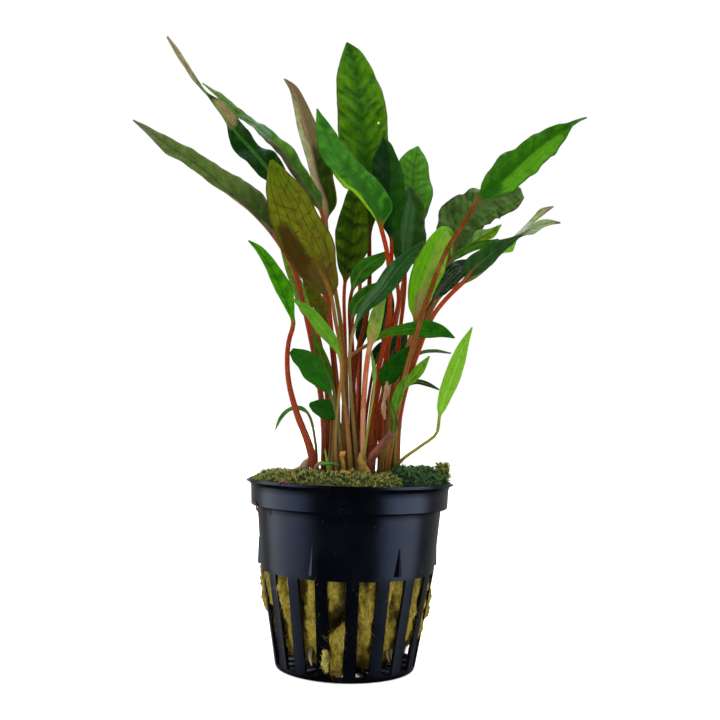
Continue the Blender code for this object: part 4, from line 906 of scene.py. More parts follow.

# Leaves that reach out to the left; three of them turn over on the way and show both sides.
# This leaf's grey-blue tip colour is a painted sheen.
leaf("far_left_leaf", "olive_leaf", (-7, -5),
     [(-7.5, -7, 65.5), (-11, -9, 85), (-14, -10, 97), (-16.5, -10, 105.5)],
     [(-20, -10, 111, 0.5, 0.8), (-23.5, -9.5, 115.5, 0.5, 4.7), (-28.5, -9, 120.5, 0.5, 5.5),
      (-34.5, -8, 125.5, 0.8, 4.8), (-40, -6.5, 130.5, 1.9, 3.5), (-46, -5, 135, 1.9, 2.7),
      (-52, -3.5, 139, 2.2, 2.2), (-58, -1.5, 143.5, 1.1, 1.1), (-63, 0, 147, 0.2, 0.2)],
     fold=10, stalk_radius=0.9, foot_radius=1.3, ruffle=0.4, ragged=0.09, quilt=0.15, spacing=5, lean=1.6,
     crumple=0.15,
     paint=dict(main=(0.062, 0.11, 0.018), blotch=(0.05, 0.075, 0.014), vein=(0.035, 0.055, 0.01),
                rib=(0.03, 0.045, 0.01), margin=(0.12, 0.11, 0.06), low=(0.016, 0.032, 0.002),
                tip=(0.095, 0.11, 0.05), patches=[(-0.7, 0.05, 0.8, 0.3, (0.34, 0.19, 0.14))], stems=MAROON,
                hatch=0.3, shine=0.09))
leaf("twisted_left_leaf", "dark_leaf", (-5.5, -0.5),
     [(-6, -1.5, 71), (-12.5, -2, 98), (-16.5, -2, 112)],
     [(-21, -2, 127.5, 0.8, 0.8), (-23, -2, 131.5, 2.4, 3.9), (-26, -2, 135, 3.3, 4.4),
      (-29.5, -2, 139, 3.8, 2.2), (-33, -2, 142.5, 3.3, 3), (-36, -2.5, 146, 0.8, 3.2),
      (-39, -3, 150, 0.5, 2.4), (-42, -3.5, 153.5, 0.4, 0.5), (-45.5, -4, 157.5, 0.5, 0.7),
      (-50, -4.5, 164, 0.8, 0.8), (-53.5, -5, 169, 0.3, 0.3)],
     fold=10, foot_radius=1.1, ruffle=0.8, wave=11, ragged=0.12, crumple=0.25,
     paint=dict(main=(0.008, 0.04, 0.002), rib=(0.04, 0.16, 0.012), margin=(0.01, 0.05, 0.004),
                left=(0.006, 0.034, 0.002), right=(0.01, 0.045, 0.004), low=(0.006, 0.032, 0.002),
                tip=(0.24, 0.17, 0.1), patches=[(0, 0.52, 1.2, 0.1, (0.2, 0.16, 0.065)),
                (0, 0.66, 1.3, 0.05, (0.09, 0.2, 0.05)), (0, 0.85, 1.2, 0.16, (0.25, 0.2, 0.11))],
                stems=SALMON, rib_width=0.5, rib_run=0.1, gloss=0.34, shine=0.09))
# The pale band across this leaf, its second patch, is a painted sheen.
leaf("wavy_left_leaf", "bright_leaf", (-4, -5),
     [(-4, -6, 71), (-6.5, -7, 92.5), (-8.5, -8, 108)],
     [(-9.5, -8, 120.5, 0.5, 0.5), (-11.5, -8, 125, 2.1, 1.9), (-14.5, -8, 129, 1.6, 2.1),
      (-17.5, -8.5, 133.5, 1.9, 2.4), (-20.5, -9, 137.5, 1.6, 2.1), (-24, -9, 140.5, 1.8, 1.6),
      (-27.5, -9, 143.5, 1.1, 1.3), (-31, -9, 145.5, 0.8, 1.2), (-34.5, -9.5, 148.5, 0.8, 1.1),
      (-38.5, -10, 151.5, 0.5, 0.8), (-42.5, -10, 154.5, 0.2, 0.2)],
     stalk_radius=0.8, foot_radius=1.1, ruffle=0.9, wave=8, ragged=0.13, crumple=0.2,
     paint=dict(main=(0.05, 0.13, 0.012), blotch=(0.035, 0.12, 0.008), rib=(0.06, 0.1, 0.03),
                margin=(0.09, 0.11, 0.05), left=(0.055, 0.12, 0.02), right=(0.055, 0.16, 0.012),
                low=(0.026, 0.085, 0.003), tip=(0.14, 0.22, 0.08),
                patches=[(-0.8, 0.35, 0.5, 0.3, (0.05, 0.04, 0.02)), (0, 0.62, 1.0, 0.12, (0.1, 0.19, 0.09))],
                stems=MAROON, rib_run=0.1, shine=0.09))
leaf("left_bright_leaf", "bright_leaf", (-7.5, -8.5),
     [(-11, -11, 59), (-14.5, -12, 67.5), (-17, -12, 77), (-17, -12, 86)],
     [(-16, -12, 90.5, 0.5, 0.5), (-17.5, -12, 95, 1, 1.8), (-19, -12, 99, 1.8, 2.6),
      (-21, -12, 103, 1.8, 2.1), (-23.5, -12, 107, 1.3, 1.6), (-26, -12, 110, 0.8, 1),
      (-28.5, -12, 112, 0.2, 0.2)],
     fold=12, stalk_radius=0.9, foot_radius=1.9,
     paint=dict(main=(0.04, 0.2, 0.003), blotch=(0.02, 0.115, 0.002), vein=(0.02, 0.09, 0.002),
                rib=(0.03, 0.13, 0.003), stems=MAROON, hatch=0.5, rib_run=0.05))
leaf("centre_light_leaf", "bright_leaf", (-3, -12),
     [(-4, -16, 63), (-3.5, -18.5, 70.5)],
     [(-3.5, -19, 81.5, 0.5, 0.5), (-5.5, -19.5, 85.5, 1.3, 1.5), (-8, -20, 88.5, 1.8, 1.8),
      (-11.5, -20.5, 92.5, 1.3, 1.5), (-16, -21, 96, 0.2, 0.2)],
     fold=10, stalk_radius=0.55, foot_radius=0.75,
     paint=dict(main=(0.076, 0.2, 0.013), blotch=(0.05, 0.165, 0.01), rib=(0.1, 0.26, 0.02),
                stems=((0.2, 0.11, 0.04), (0.16, 0.11, 0.024)), hatch=0.2, rib_run=0.06))
leaf("dark_oval_leaf", "dark_leaf", (-1.3, -9.6),
     [(-2.8, -13, 60.5)],
     [(-5.5, -16, 71.5, 0.5, 0.5), (-7.5, -16.5, 75, 2, 1.8), (-10, -16.5, 78, 3.1, 2.8),
      (-12, -16.5, 80.5, 2.8, 2.6), (-14.5, -16.5, 82, 2, 1.8), (-16, -17, 83, 0.8, 0.8)],
     ruffle=0.1,
     paint=dict(main=(0.012, 0.082, 0.002), blotch=(0.008, 0.05, 0.002), vein=(0.03, 0.1, 0.02),
                rib=(0.012, 0.085, 0.003), stems=((0.25, 0.13, 0.06), (0.08, 0.09, 0.02)), hatch=0.1,
                lines=0.35, rib_width=0.25, rib_run=0.03, gloss=0.28, shine=0.07))
leaf("small_round_leaf", "dark_leaf", (-3.8, -9.3),
     [(-3, -10.5, 59)],
     [(-3.5, -12, 65.5, 0.5, 0.5), (-5, -12.5, 67, 2.1, 2.3), (-7.5, -13, 68.5, 2.6, 2.6),
      (-9.5, -14, 69, 1.8, 1.8), (-11, -14.5, 69.5, 0.5, 0.5)],
     stalk_radius=0.6, foot_radius=0.8, ruffle=0.1,
     paint=dict(main=(0.01, 0.065, 0.002), blotch=(0.006, 0.045, 0.002), vein=(0.02, 0.085, 0.012),
                rib=(0.01, 0.07, 0.003), stems=((0.22, 0.1, 0.05), (0.06, 0.07, 0.02)), hatch=0.1,
                rib_width=0.25, rib_run=0.03, gloss=0.28, shine=0.07))
leaf("strap_leaf", "lime_leaf", (-9, -6),
     [(-9.5, -8, 60), (-11, -8, 66)],
     [(-11.5, -9, 67, 0.5, 0.5), (-13.5, -9, 68.5, 0.7, 0.5), (-16.5, -9, 68, 0.5, 0.5),
      (-18.5, -9, 66, 0.5, 0.5), (-20, -9, 62.5, 0.2, 0.2)],
     fold=10, stalk_radius=0.5, foot_radius=0.7,
     paint=dict(main=(0.04, 0.17, 0.006), blotch=(0.03, 0.1, 0.006), tip=(0.16, 0.4, 0.02),
                stems=((0.22, 0.1, 0.03), (0.1, 0.12, 0.02)), rib_run=0.05))
leaf("reticulated_leaf", "pale_leaf", (-7.5, -2.5),
     [(-6.5, -3.5, 65.5), (-8, -4, 79)],
     [(-11.5, -5, 90.5, 0.4, 0.4), (-13.5, -5, 95.5, 1.6, 1.6), (-15.5, -5.5, 100.5, 1.6, 1.9),
      (-18, -6, 106, 1.1, 1.3), (-20.5, -6, 111.5, 0.2, 0.2)],
     foot_radius=1.0, spacing=2.4,
     paint=dict(main=(0.143, 0.246, 0.026), blotch=(0.11, 0.21, 0.02), vein=(0.07, 0.07, 0.015),
                rib=(0.16, 0.1, 0.03), margin=(0.08, 0.12, 0.02),
                stems=((0.25, 0.09, 0.05), (0.24, 0.04, 0.025)), hatch=0.2, lines=0.8, rib_run=0.12))
leaf("olive_veined_leaf", "olive_leaf", (-4.5, -7.5),
     [(-4.5, -8, 65.5), (-5.5, -10, 81.5)],
     [(-7, -11, 90, 0.5, 0.5), (-9, -11, 95, 1.8, 1.8), (-11.5, -11, 99, 1.6, 1.6),
      (-14, -12, 102.5, 0.2, 0.2)],
     foot_radius=1.0, spacing=2.4,
     paint=dict(main=(0.05, 0.075, 0.004), blotch=(0.035, 0.055, 0.003), vein=(0.045, 0.015, 0.003),
                rib=(0.1, 0.02, 0.006), stems=DARK_RED, lines=0.9, rib_run=0.1))
leaf("low_green_leaf", "mid_leaf", (-5.5, -10.5),
     [(-4.5, -10, 63)],
     [(-4.5, -11.5, 71.5, 0.5, 0.5), (-7, -12, 78.5, 1.6, 1.6), (-9, -12, 83.5, 1.3, 1.3),
      (-11, -12, 88.5, 0.2, 0.2)],
     stalk_radius=0.6,
     paint=dict(main=(0.045, 0.09, 0.004), blotch=(0.03, 0.07, 0.003), stems=OLIVE, rib_run=0.05))

# Leaves that reach out to the right.
leaf("right_reaching_leaf", "bright_leaf", (8.5, -8.5),
     [(10.5, -10.5, 60.5), (13, -12.5, 75), (15.5, -15, 86), (19, -16, 98.5), (24, -15, 111.5),
      (28.5, -15, 119)],
     [(31, -15, 123.5, 0.5, 0.5), (34, -15, 126.5, 2.6, 2.8), (37.5, -15, 130, 3.9, 4.6),
      (41.5, -15.5, 133.5, 4.6, 4.4), (45, -16, 137, 3.3, 5.1), (48.5, -16, 140, 2.8, 4.4),
      (52, -16.5, 142.5, 1.5, 2.8), (55, -17, 144.5, 0.5, 0.9), (59, -17, 146, 0.2, 0.2)],
     fold=3, stalk_radius=0.9, foot_radius=1.3, ruffle=1.3, wave=8, ragged=0.13, spacing=5, lean=0.9,
     channel=0.5, crumple=0.4,
     paint=dict(main=(0.025, 0.112, 0.003), blotch=(0.017, 0.08, 0.002), vein=(0.012, 0.06, 0.002),
                rib=(0.012, 0.07, 0.002), margin=(0.03, 0.09, 0.008),
                patches=[(0.55, 0.45, 0.45, 0.4, (0.06, 0.205, 0.008)),
                (0.2, 0.1, 0.7, 0.12, (0.012, 0.07, 0.002)), (0, 0.97, 1.5, 0.05, (0.1, 0.16, 0.05))],
                stems=((0.28, 0.13, 0.038), (0.1, 0.028, 0.003)), hatch=0.5, mottle=0.8, rib_width=0.9,
                rib_run=0.07, speckle=0.35))
leaf("rumpled_leaf", "mid_leaf", (10, 1),
     [(12, 3.5, 71.5), (16.5, 7, 90), (20, 7, 101)],
     [(26, 6.5, 111, 0.8, 0.8), (28.5, 6, 117, 7.3, 3.6), (30.5, 5.5, 122.5, 7.3, 4.2),
      (34, 5.5, 126, 5.9, 5), (38, 6, 129, 4.5, 5.3), (42.5, 6.5, 130.5, 3.4, 5.3), (46.5, 7, 132, 1.1, 2.2)],
     fold=4, stalk_radius=0.9, foot_radius=1.2, ruffle=1.2, wave=5, ragged=0.16, quilt=0.15, spacing=2.2,
     crumple=0.5,
     paint=dict(main=(0.045, 0.1, 0.014), blotch=(0.03, 0.075, 0.013), light=(0.1, 0.19, 0.03),
                vein=(0.018, 0.045, 0.009), rib=(0.11, 0.06, 0.02), margin=(0.04, 0.05, 0.02), stems=DARK_RED,
                hatch=0.35, lines=0.7, rib_run=0.1, gloss=0.48, shine=0.13))
leaf("arched_bright_leaf", "lime_leaf", (9, -5.5),
     [(9.5, -7, 63.5), (11, -8, 74), (14, -9, 84.5)],
     [(16, -8.5, 91.5, 0.8, 0.8), (17, -8.5, 96, 2.9, 2.1), (18, -8.5, 101.5, 4, 3.4),
      (20, -9, 107.5, 4.5, 4), (21.5, -9, 112.5, 3.2, 3.4), (23.5, -8, 116.5, 1.9, 2.4),
      (25, -4.5, 117, 1.1, 1.1), (26, -3.5, 111, 0.2, 0.2)],
     fold=6, stalk_radius=0.9, foot_radius=1.3, ruffle=0.2, spacing=5, crumple=0.08,
     paint=dict(main=(0.088, 0.27, 0.006), blotch=(0.08, 0.25, 0.008), vein=(0.06, 0.15, 0.008),
                rib=(0.17, 0.2, 0.05), margin=(0.07, 0.16, 0.01), right=(0.14, 0.27, 0.02),
                patches=[(0, 0.12, 0.5, 0.14, (0.16, 0.11, 0.04))],
                stems=((0.22, 0.13, 0.05), (0.24, 0.07, 0.022)), hatch=0.1, lines=0.9, rib_width=0.7,
                rib_run=0.2))
leaf("bright_right_leaf", "bright_leaf", (8.5, 3.5),
     [(11, 6, 71.5), (13, 9, 91.5), (14, 9, 103)],
     [(14, 9.5, 114, 0.6, 0.6), (14.5, 10, 120.5, 2.6, 3.1), (15.5, 10, 126.5, 4.8, 4.8),
      (15.5, 10, 130.5, 5.4, 6), (15.5, 10.5, 136, 5.4, 5.1), (16, 11, 140.5, 4.3, 4),
      (16.5, 11.5, 143.5, 2.3, 2.3), (17, 12, 145.5, 0.3, 0.3)],
     stalk_radius=0.8, foot_radius=1.2, ruffle=0.3, quilt=0.15, spacing=2.6, lean=0.45, crumple=0.12,
     paint=dict(main=(0.056, 0.19, 0.014), blotch=(0.042, 0.16, 0.011), light=(0.1, 0.26, 0.03),
                vein=(0.03, 0.11, 0.012), rib=(0.03, 0.1, 0.012), hatch=0.7, lines=0.6, rib_width=0.8,
                rib_run=0.05))
# The bluish patch in the middle of this leaf is a painted sheen.
leaf("dark_right_leaf", "dark_leaf", (8, -2.5),
     [(8.5, 0.5, 74), (10, 1.5, 89.5), (12, 1, 99)],
     [(11.5, 1, 106, 0.5, 0.5), (13, 1, 111, 2.7, 3.8), (13.5, 1, 116, 4.1, 5.8), (14, 1.5, 121, 4.4, 4.9),
      (14.5, 2, 125.5, 3.9, 3.9), (14.5, 2.5, 129, 2.2, 2.2), (14.5, 3, 131.5, 0.3, 0.3)],
     fold=10, stalk_radius=0.8, foot_radius=1.2, crumple=0.1,
     paint=dict(main=(0.014, 0.052, 0.003), blotch=(0.01, 0.038, 0.003), rib=(0.03, 0.09, 0.022),
                margin=(0.035, 0.035, 0.02), patches=[(0, 0.55, 0.4, 0.4, (0.034, 0.1, 0.026))], rib_run=0.1,
                shine=0.09))
leaf("right_low_leaf", "dark_leaf", (12.4, -4.2),
     [(12, -6, 60.5), (14, -8, 74), (17, -8.5, 84), (21.5, -8, 95), (26, -8, 100.5)],
     [(29, -8, 103.5, 0.5, 0.5), (31.5, -8, 107, 3.2, 2.1), (35, -8, 110, 2.9, 2.4),
      (38, -8, 112.5, 2.4, 1.6), (41, -8.5, 114.5, 1.1, 1.1), (43.5, -8.5, 116, 0.4, 0.4),
      (46.5, -8, 118, 0.8, 1.6), (49.5, -8, 119.5, 1.2, 1.1), (52, -8, 120, 0.8, 0.7),
      (54.5, -8, 120, 0.2, 0.2)],
     stalk_radius=0.9, foot_radius=1.2, ruffle=0.4, wave=7, ragged=0.04, crumple=0.15,
     paint=dict(main=(0.012, 0.052, 0.007), blotch=(0.01, 0.045, 0.007), rib=(0.05, 0.07, 0.03),
                margin=(0.02, 0.05, 0.015), low=(0.013, 0.05, 0.009), tip=(0.1, 0.09, 0.03),
                patches=[(0, 0.7, 1.5, 0.07, (0.18, 0.22, 0.11)), (0, 0.84, 1.5, 0.12, (0.2, 0.28, 0.12))],
                rib_width=0.3, rib_run=0.25, shine=0.09))
leaf("right_narrow_leaf", "pale_leaf", (12.5, 0),
     [(13, 1.5, 68.5), (18.5, 1.5, 89.5), (24.5, 0, 101.5), (33, -1, 106)],
     [(39, -2, 112, 0.5, 0.8), (41, -2, 114.5, 0.5, 2.4), (43.5, -2, 117, 0.5, 0.8),
      (48.5, -1.5, 122, 0.7, 0.7), (51, -1, 124.5, 1, 1), (54, -1, 126, 0.2, 0.2)],
     foot_radius=1.0,
     paint=dict(main=(0.19, 0.26, 0.07), rib=(0.42, 0.46, 0.36), tip=(0.14, 0.1, 0.06),
                patches=[(0.6, 0.16, 0.7, 0.2, (0.12, 0.32, 0.02)), (0, 0.45, 1.2, 0.18, (0.42, 0.46, 0.36))],
                stems=OLIVE, rib_width=0.6))
leaf("small_margined_leaf", "lime_leaf", (11, 4),
     [(13.5, 7, 71.5), (20, 9, 94.5)],
     [(29.5, 10, 114, 0.6, 0.6), (32.5, 10, 116.5, 1.4, 0.6), (35.5, 10, 119, 2.3, 1.1),
      (38, 10.5, 120.5, 1.1, 2), (41.5, 11, 123, 0.2, 0.2)],
     stalk_radius=0.6,
     paint=dict(main=(0.12, 0.3, 0.01), rib=(0.13, 0.1, 0.02), margin=(0.13, 0.08, 0.02),
                left=(0.16, 0.32, 0.08), right=(0.12, 0.3, 0.008), stems=BROWN, rib_run=0.05))
leaf("green_strip_leaf", "mid_leaf", (13, 3),
     [(14, 4, 71.5), (20.5, 3, 95.5)],
     [(26, 2, 110, 0.6, 0.6), (29.5, 2, 113, 1.1, 1.1), (33, 2, 115, 1.1, 1.4), (36.5, 2, 116, 0.8, 1.1),
      (39.5, 2, 117, 0.2, 0.2)],
     stalk_radius=0.6, ruffle=0.4,
     paint=dict(main=(0.03, 0.12, 0.003), blotch=(0.022, 0.09, 0.003), margin=(0.06, 0.11, 0.01), stems=BROWN,
                rib_run=0.05))
leaf("striped_dark_leaf", "dark_leaf", (10.5, -2),
     [(12, -4, 71.5), (16, -4, 88)],
     [(21, -4, 98.5, 0.5, 0.5), (23, -4, 101.5, 2.2, 1.9), (25.5, -4, 105, 2.7, 2.7),
      (28.5, -4, 108, 2.2, 2.4), (31, -4, 110, 0.3, 0.3)],
     foot_radius=1.0, spacing=0.9, lean=0.5,
     paint=dict(main=(0.006, 0.026, 0.005), blotch=(0.005, 0.02, 0.004), vein=(0.11, 0.15, 0.1),
                stems=DARK_RED, hatch=0, lines=1.1, rib_run=0.1, gloss=0.3, shine=0.2))
leaf("small_yellow_green_leaf", "lime_leaf", (11, -8),
     [(11.5, -8.9, 52.5), (13.5, -13.5, 56), (18, -14.5, 59.5), (22, -15, 63)],
     [(22.5, -15, 67, 0.5, 0.5), (23, -15, 69.5, 1.2, 1.2), (24, -15, 73, 1.8, 1.8),
      (25.5, -15, 77, 2.2, 2.1), (27, -15, 81.5, 2.1, 1.9), (28.5, -15, 86, 1.3, 1.2),
      (30.5, -15, 90.5, 0.2, 0.2)],
     stalk_radius=0.6, foot_radius=0.8, ruffle=0.15,
     paint=dict(main=(0.135, 0.31, 0.02), blotch=(0.12, 0.285, 0.016), light=(0.2, 0.44, 0.03),
                vein=(0.11, 0.3, 0.015), rib=(0.19, 0.4, 0.04), margin=(0.15, 0.36, 0.02), stems=GREEN_STALK,
                hatch=0.1, rib_run=0.1))
leaf("level_dark_leaf", "mid_leaf", (-1, -7.5),
     [(-2, -9.5, 73.5), (-1, -11.5, 82)],
     [(4.5, -11, 86, 0.5, 0.5), (8, -11, 88.5, 1, 1), (11.5, -11.3, 89.5, 1.3, 1.3),
      (15, -11.6, 90, 1.8, 1.8), (19, -11.5, 90, 2.4, 2.4), (23, -11, 89.5, 1.6, 1.6),
      (26.5, -10.5, 88, 0.2, 0.2)],
     foot_radius=1.0,
     paint=dict(main=(0.014, 0.095, 0.003), blotch=(0.01, 0.07, 0.003), rib=(0.05, 0.16, 0.01),
                low=(0.05, 0.14, 0.005), stems=BROWN, rib_width=0.25, rib_run=0.2, gloss=0.36))

# Small leaves between and below the others.
leaf("thin_edge_leaf", "mid_leaf", (8.5, 0),
     [(10, 1.5, 68.5), (12.5, 0, 78.5)],
     [(15.5, -2, 82.5, 0.4, 0.4), (18.5, -2.2, 84.5, 0.5, 0.5), (22, -2.2, 85, 0.5, 0.5),
      (26.5, -2.2, 84.5, 0.2, 0.2)],
     stalk_radius=0.5, foot_radius=0.7,
     paint=dict(main=(0.06, 0.13, 0.035), blotch=(0.035, 0.09, 0.02), stems=BROWN, rib_run=0.05))
leaf("light_low_leaf", "bright_leaf", (11.9, -6.3),
     [(11.8, -8, 60.5)],
     [(13.5, -9.5, 74, 0.5, 0.5), (15.5, -9.8, 77, 1.3, 1.3), (17.5, -10, 79.5, 1.4, 1.4),
      (20, -10, 83, 0.2, 0.2)],
     stalk_radius=0.5, foot_radius=0.7,
     paint=dict(main=(0.093, 0.25, 0.007), blotch=(0.07, 0.21, 0.007), stems=GREEN_STALK, rib_run=0.05))
leaf("narrow_dark_leaf", "dark_leaf", (12.5, -2),
     [(13, -1, 66)],
     [(14.5, -2, 75, 0.4, 0.4), (17, -2, 76.5, 0.7, 0.7), (20, -2, 76, 0.7, 0.7), (23.5, -2, 74.5, 0.2, 0.2)],
     stalk_radius=0.5, foot_radius=0.7,
     paint=dict(main=(0.015, 0.05, 0.006), rib=(0.11, 0.15, 0.06), stems=BROWN, rib_width=0.3, rib_run=0.05))
leaf("dark_broad_leaf", "dark_leaf", (5.5, -8.5),
     [(6.5, -10, 60.5)],
     [(8, -11, 73.5, 0.5, 0.5), (9, -11, 77, 2.4, 2.4), (11, -11, 80, 2.6, 2.6), (13, -11, 83, 1.8, 1.8),
      (15, -11.5, 85.5, 0.2, 0.2)],
     paint=dict(main=(0.008, 0.055, 0.002), blotch=(0.006, 0.042, 0.002), rib=(0.01, 0.07, 0.004),
                stems=DARK_RED, rib_run=0.02, gloss=0.34))
leaf("yellow_edged_leaf", "bright_leaf", (6.3, -9.9),
     [(8.3, -12.2, 58)],
     [(11, -13.7, 67.5, 0.5, 0.5), (11.5, -13.8, 71, 1.3, 1.3), (12.5, -14.8, 74.5, 1, 1),
      (13.5, -15.5, 77.5, 0.2, 0.2)],
     stalk_radius=0.5, foot_radius=0.7,
     paint=dict(main=(0.05, 0.17, 0.006), margin=(0.28, 0.36, 0.03), stems=OLIVE, rib_run=0.05))
leaf("pink_rib_leaf", "lime_leaf", (4.5, -11.5),
     [(3, -12.5, 60.5), (3, -13, 72)],
     [(4, -13, 84, 1, 1), (5, -13.5, 89, 1.8, 1.8), (6, -13, 94, 1.6, 1.8), (8, -12, 98.5, 0.2, 0.2)],
     fold=10, stalk_radius=1.0, foot_radius=1.1,
     paint=dict(main=(0.13, 0.24, 0.03), blotch=(0.1, 0.2, 0.02), rib=(0.33, 0.16, 0.12), stems=CREAM,
                rib_width=0.5, rib_run=0.5))
leaf("dark_inner_leaf", "dark_leaf", (4, 3),
     [(5.5, 4, 71.5)],
     [(8, 6, 87, 0.6, 0.6), (8.5, 6.5, 92.5, 2, 2), (9.5, 7.5, 98.5, 1.7, 1.7), (9.5, 8, 104.5, 0.2, 0.2)],
     stalk_radius=0.6,
     paint=dict(main=(0.006, 0.03, 0.002), stems=DARK_RED))
leaf("blue_green_leaf", "mid_leaf", (8, 6),
     [(9.5, 8, 71.5)],
     [(10, 10.5, 83, 0.6, 0.6), (12, 11, 86.5, 2.3, 2.3), (13.5, 11.5, 89.5, 2, 2),
      (15.5, 12, 92.5, 0.2, 0.2)],
     stalk_radius=0.6,
     paint=dict(main=(0.012, 0.05, 0.012), stems=DARK_RED))
leaf("dark_thin_leaf", "dark_leaf", (1, 2),
     [(2, 3, 71)],
     [(2, 4, 85, 0.6, 0.6), (2, 4, 89.5, 1.7, 1.7), (2.5, 4.5, 93.5, 1.4, 1.4), (3.5, 4.5, 98, 0.2, 0.2)],
     stalk_radius=0.6,
     paint=dict(main=(0.006, 0.03, 0.002), stems=DARK_RED))
leaf("short_dark_leaf", "dark_leaf", (3, 6),
     [(4.5, 7, 71.5)],
     [(6, 8, 81, 0.6, 0.6), (7, 9, 84.5, 2, 2), (8.5, 9, 87, 1.4, 1.4), (9.5, 9.5, 88.5, 0.2, 0.2)],
     stalk_radius=0.6,
     paint=dict(main=(0.006, 0.03, 0.002), stems=DARK_RED))
leaf("small_olive_leaf", "olive_leaf", (7.9, -10.9),
     [(8.2, -12, 51), (8.6, -14, 57)],
     [(10.5, -14.3, 61.5, 0.4, 0.4), (11, -14.5, 64.5, 0.9, 0.9), (10.5, -15, 68, 0.8, 0.8),
      (9, -15, 71, 0.2, 0.2)],
     stalk_radius=0.5, foot_radius=0.7,
     paint=dict(main=(0.045, 0.08, 0.006), stems=OLIVE, rib_run=0.05))
leaf("thread_leaf", "lime_leaf", (2.5, -13),
     [(4.5, -15.5, 66)],
     [(5.5, -16, 74, 0.4, 0.4), (5.5, -16, 78, 0.6, 0.6), (4.5, -16, 83.5, 0.2, 0.2)],
     stalk_radius=0.45, foot_radius=0.6,
     paint=dict(main=(0.1, 0.22, 0.03), stems=GREEN_STALK))

# Leaves on the far side, like the ones in front.
leaf("back_tall_leaf", "mid_leaf", (2, 9),
     [(1.5, 17, 92), (1.2, 20.5, 113)],
     [(1, 24, 133.5, 0.8, 0.8), (0.5, 27, 143, 4.5, 4.5), (-0.5, 30.5, 154, 5.5, 5.5), (-1.5, 34, 165, 4, 4),
      (-3, 38, 175.5, 0.2, 0.2)],
     turn=180, fold=10, stalk_radius=0.8, foot_radius=1.1,
     paint=dict(main=(0.04, 0.14, 0.005), hatch=0.6))
leaf("back_left_leaf", "mid_leaf", (-4, 6),
     [(-5, 14.5, 80), (-7.5, 18.5, 93)],
     [(-10, 23, 105.5, 0.8, 0.8), (-13, 28, 115, 4, 4), (-16.5, 33, 125, 5, 5), (-19.5, 37.5, 133, 3.5, 3.5),
      (-22.5, 42, 140.5, 0.2, 0.2)],
     turn=180, fold=10, stalk_radius=0.8, foot_radius=1.1,
     paint=dict(main=(0.035, 0.11, 0.006), stems=MAROON))
leaf("back_right_leaf", "dark_leaf", (10, 8),
     [(13, 13, 77.5), (18, 16.5, 95)],
     [(24.5, 21, 111.5, 0.8, 0.8), (29, 25, 119, 4, 4), (34, 29.5, 127, 5, 5), (39.5, 34, 134, 3.5, 3.5),
      (45, 38, 140, 0.2, 0.2)],
     turn=180, fold=10, stalk_radius=0.8, foot_radius=1.1,
     paint=dict(main=(0.014, 0.065, 0.005)))
leaf("back_upper_leaf", "bright_leaf", (4.5, 9.7),
     [(10.5, 17, 83.5)],
     [(14.5, 22, 109.5, 0.8, 0.8), (15.5, 26, 118, 3.5, 3.5), (16.2, 30, 127, 4, 4),
      (16.8, 34, 135, 2.5, 2.5), (17, 37, 142, 0.2, 0.2)],
     turn=180, fold=10, stalk_radius=0.8, foot_radius=1.1,
     paint=dict(main=(0.06, 0.19, 0.008), stems=BROWN))
leaf("back_low_left_leaf", "dark_leaf", (-8.7, 5.8),
     [(-5, 12.5, 62)],
     [(-6.5, 17, 71.5, 0.6, 0.6), (-8.8, 22.5, 77, 2.9, 2.9), (-11.3, 28, 82, 2.5, 2.5),
      (-14, 33.5, 86.5, 0.2, 0.2)],
     turn=180, fold=10, stalk_radius=0.6,
     paint=dict(main=(0.012, 0.06, 0.004), stems=MAROON, gloss=0.34))
leaf("back_low_right_leaf", "mid_leaf", (8, 10.5),
     [(8.7, 11.5, 54), (10.3, 16, 63)],
     [(10.5, 20, 72, 0.6, 0.6), (11.5, 25.5, 77.5, 3.5, 3.5), (12.7, 31.5, 82, 3, 3), (14, 37, 87, 0.2, 0.2)],
     turn=180, fold=10, stalk_radius=0.6,
     paint=dict(main=(0.03, 0.11, 0.005), stems=BROWN))

# ---------------------------------------------------------------------------------------------
# Small pieces at the foot of the bunch: a cut stalk with its dark open end, a young shoot, one fallen
# leaf, a papery sheath and withered scraps between the stalks, brown plant litter on the moss and the
# pot's collar, loose fibres, root tips, a torn flake of wool, a downy bud and a tuft of moss. A path
# gives points as (x, y, z, radius or half width).
LEAST_RADIUS = 0.05
HOLLOW_RADII = np.array([0.72, 0.66, 0.55, 0.3])
OFF_ALL_TUBES = (0.3, -1.0, 0.1)  # a way that no tube runs along
SCRAP_STEP = 0.15
SCRAP_CUTS = np.linspace(-1, 1, 9)
TOWARDS_VIEWER = (0, -1, 0)
FUZZ_RADIUS = 0.045


def tube(path, sides=16, spacing=0.4, hollow=0.0):
    """A ring carried along a smooth line, its radius between the given ones; a hollow end goes back
    down inside by that many mm."""
    path = np.array(path, float)
    run = run_along(path[:, :3])
    place, way = smooth_path(path, np.linspace(0, run[-1], max(6, int(run[-1] / spacing))))
    middle, radius = place[:, :3], np.maximum(place[:, 3], LEAST_RADIUS)
    if hollow:
        inner = np.linspace(0, hollow, len(HOLLOW_RADII) + 1)[1:]
        middle = np.vstack([middle, middle[-1:] - way[-1] * (inner[:, None] - inner[0])])
        radius = np.concatenate([radius, radius[-1] * HOLLOW_RADII])
        way = np.vstack([way, np.repeat(way[-1:], len(HOLLOW_RADII), axis=0)])
    side = unit(np.cross(way, OFF_ALL_TUBES))
    other = np.cross(way, side)
    angle = np.linspace(0, TURN, sides, endpoint=False)[:, None]
    ring = side[:, None] * np.cos(angle) + other[:, None] * np.sin(angle)
    return middle[:, None] + ring * radius[:, None, None]


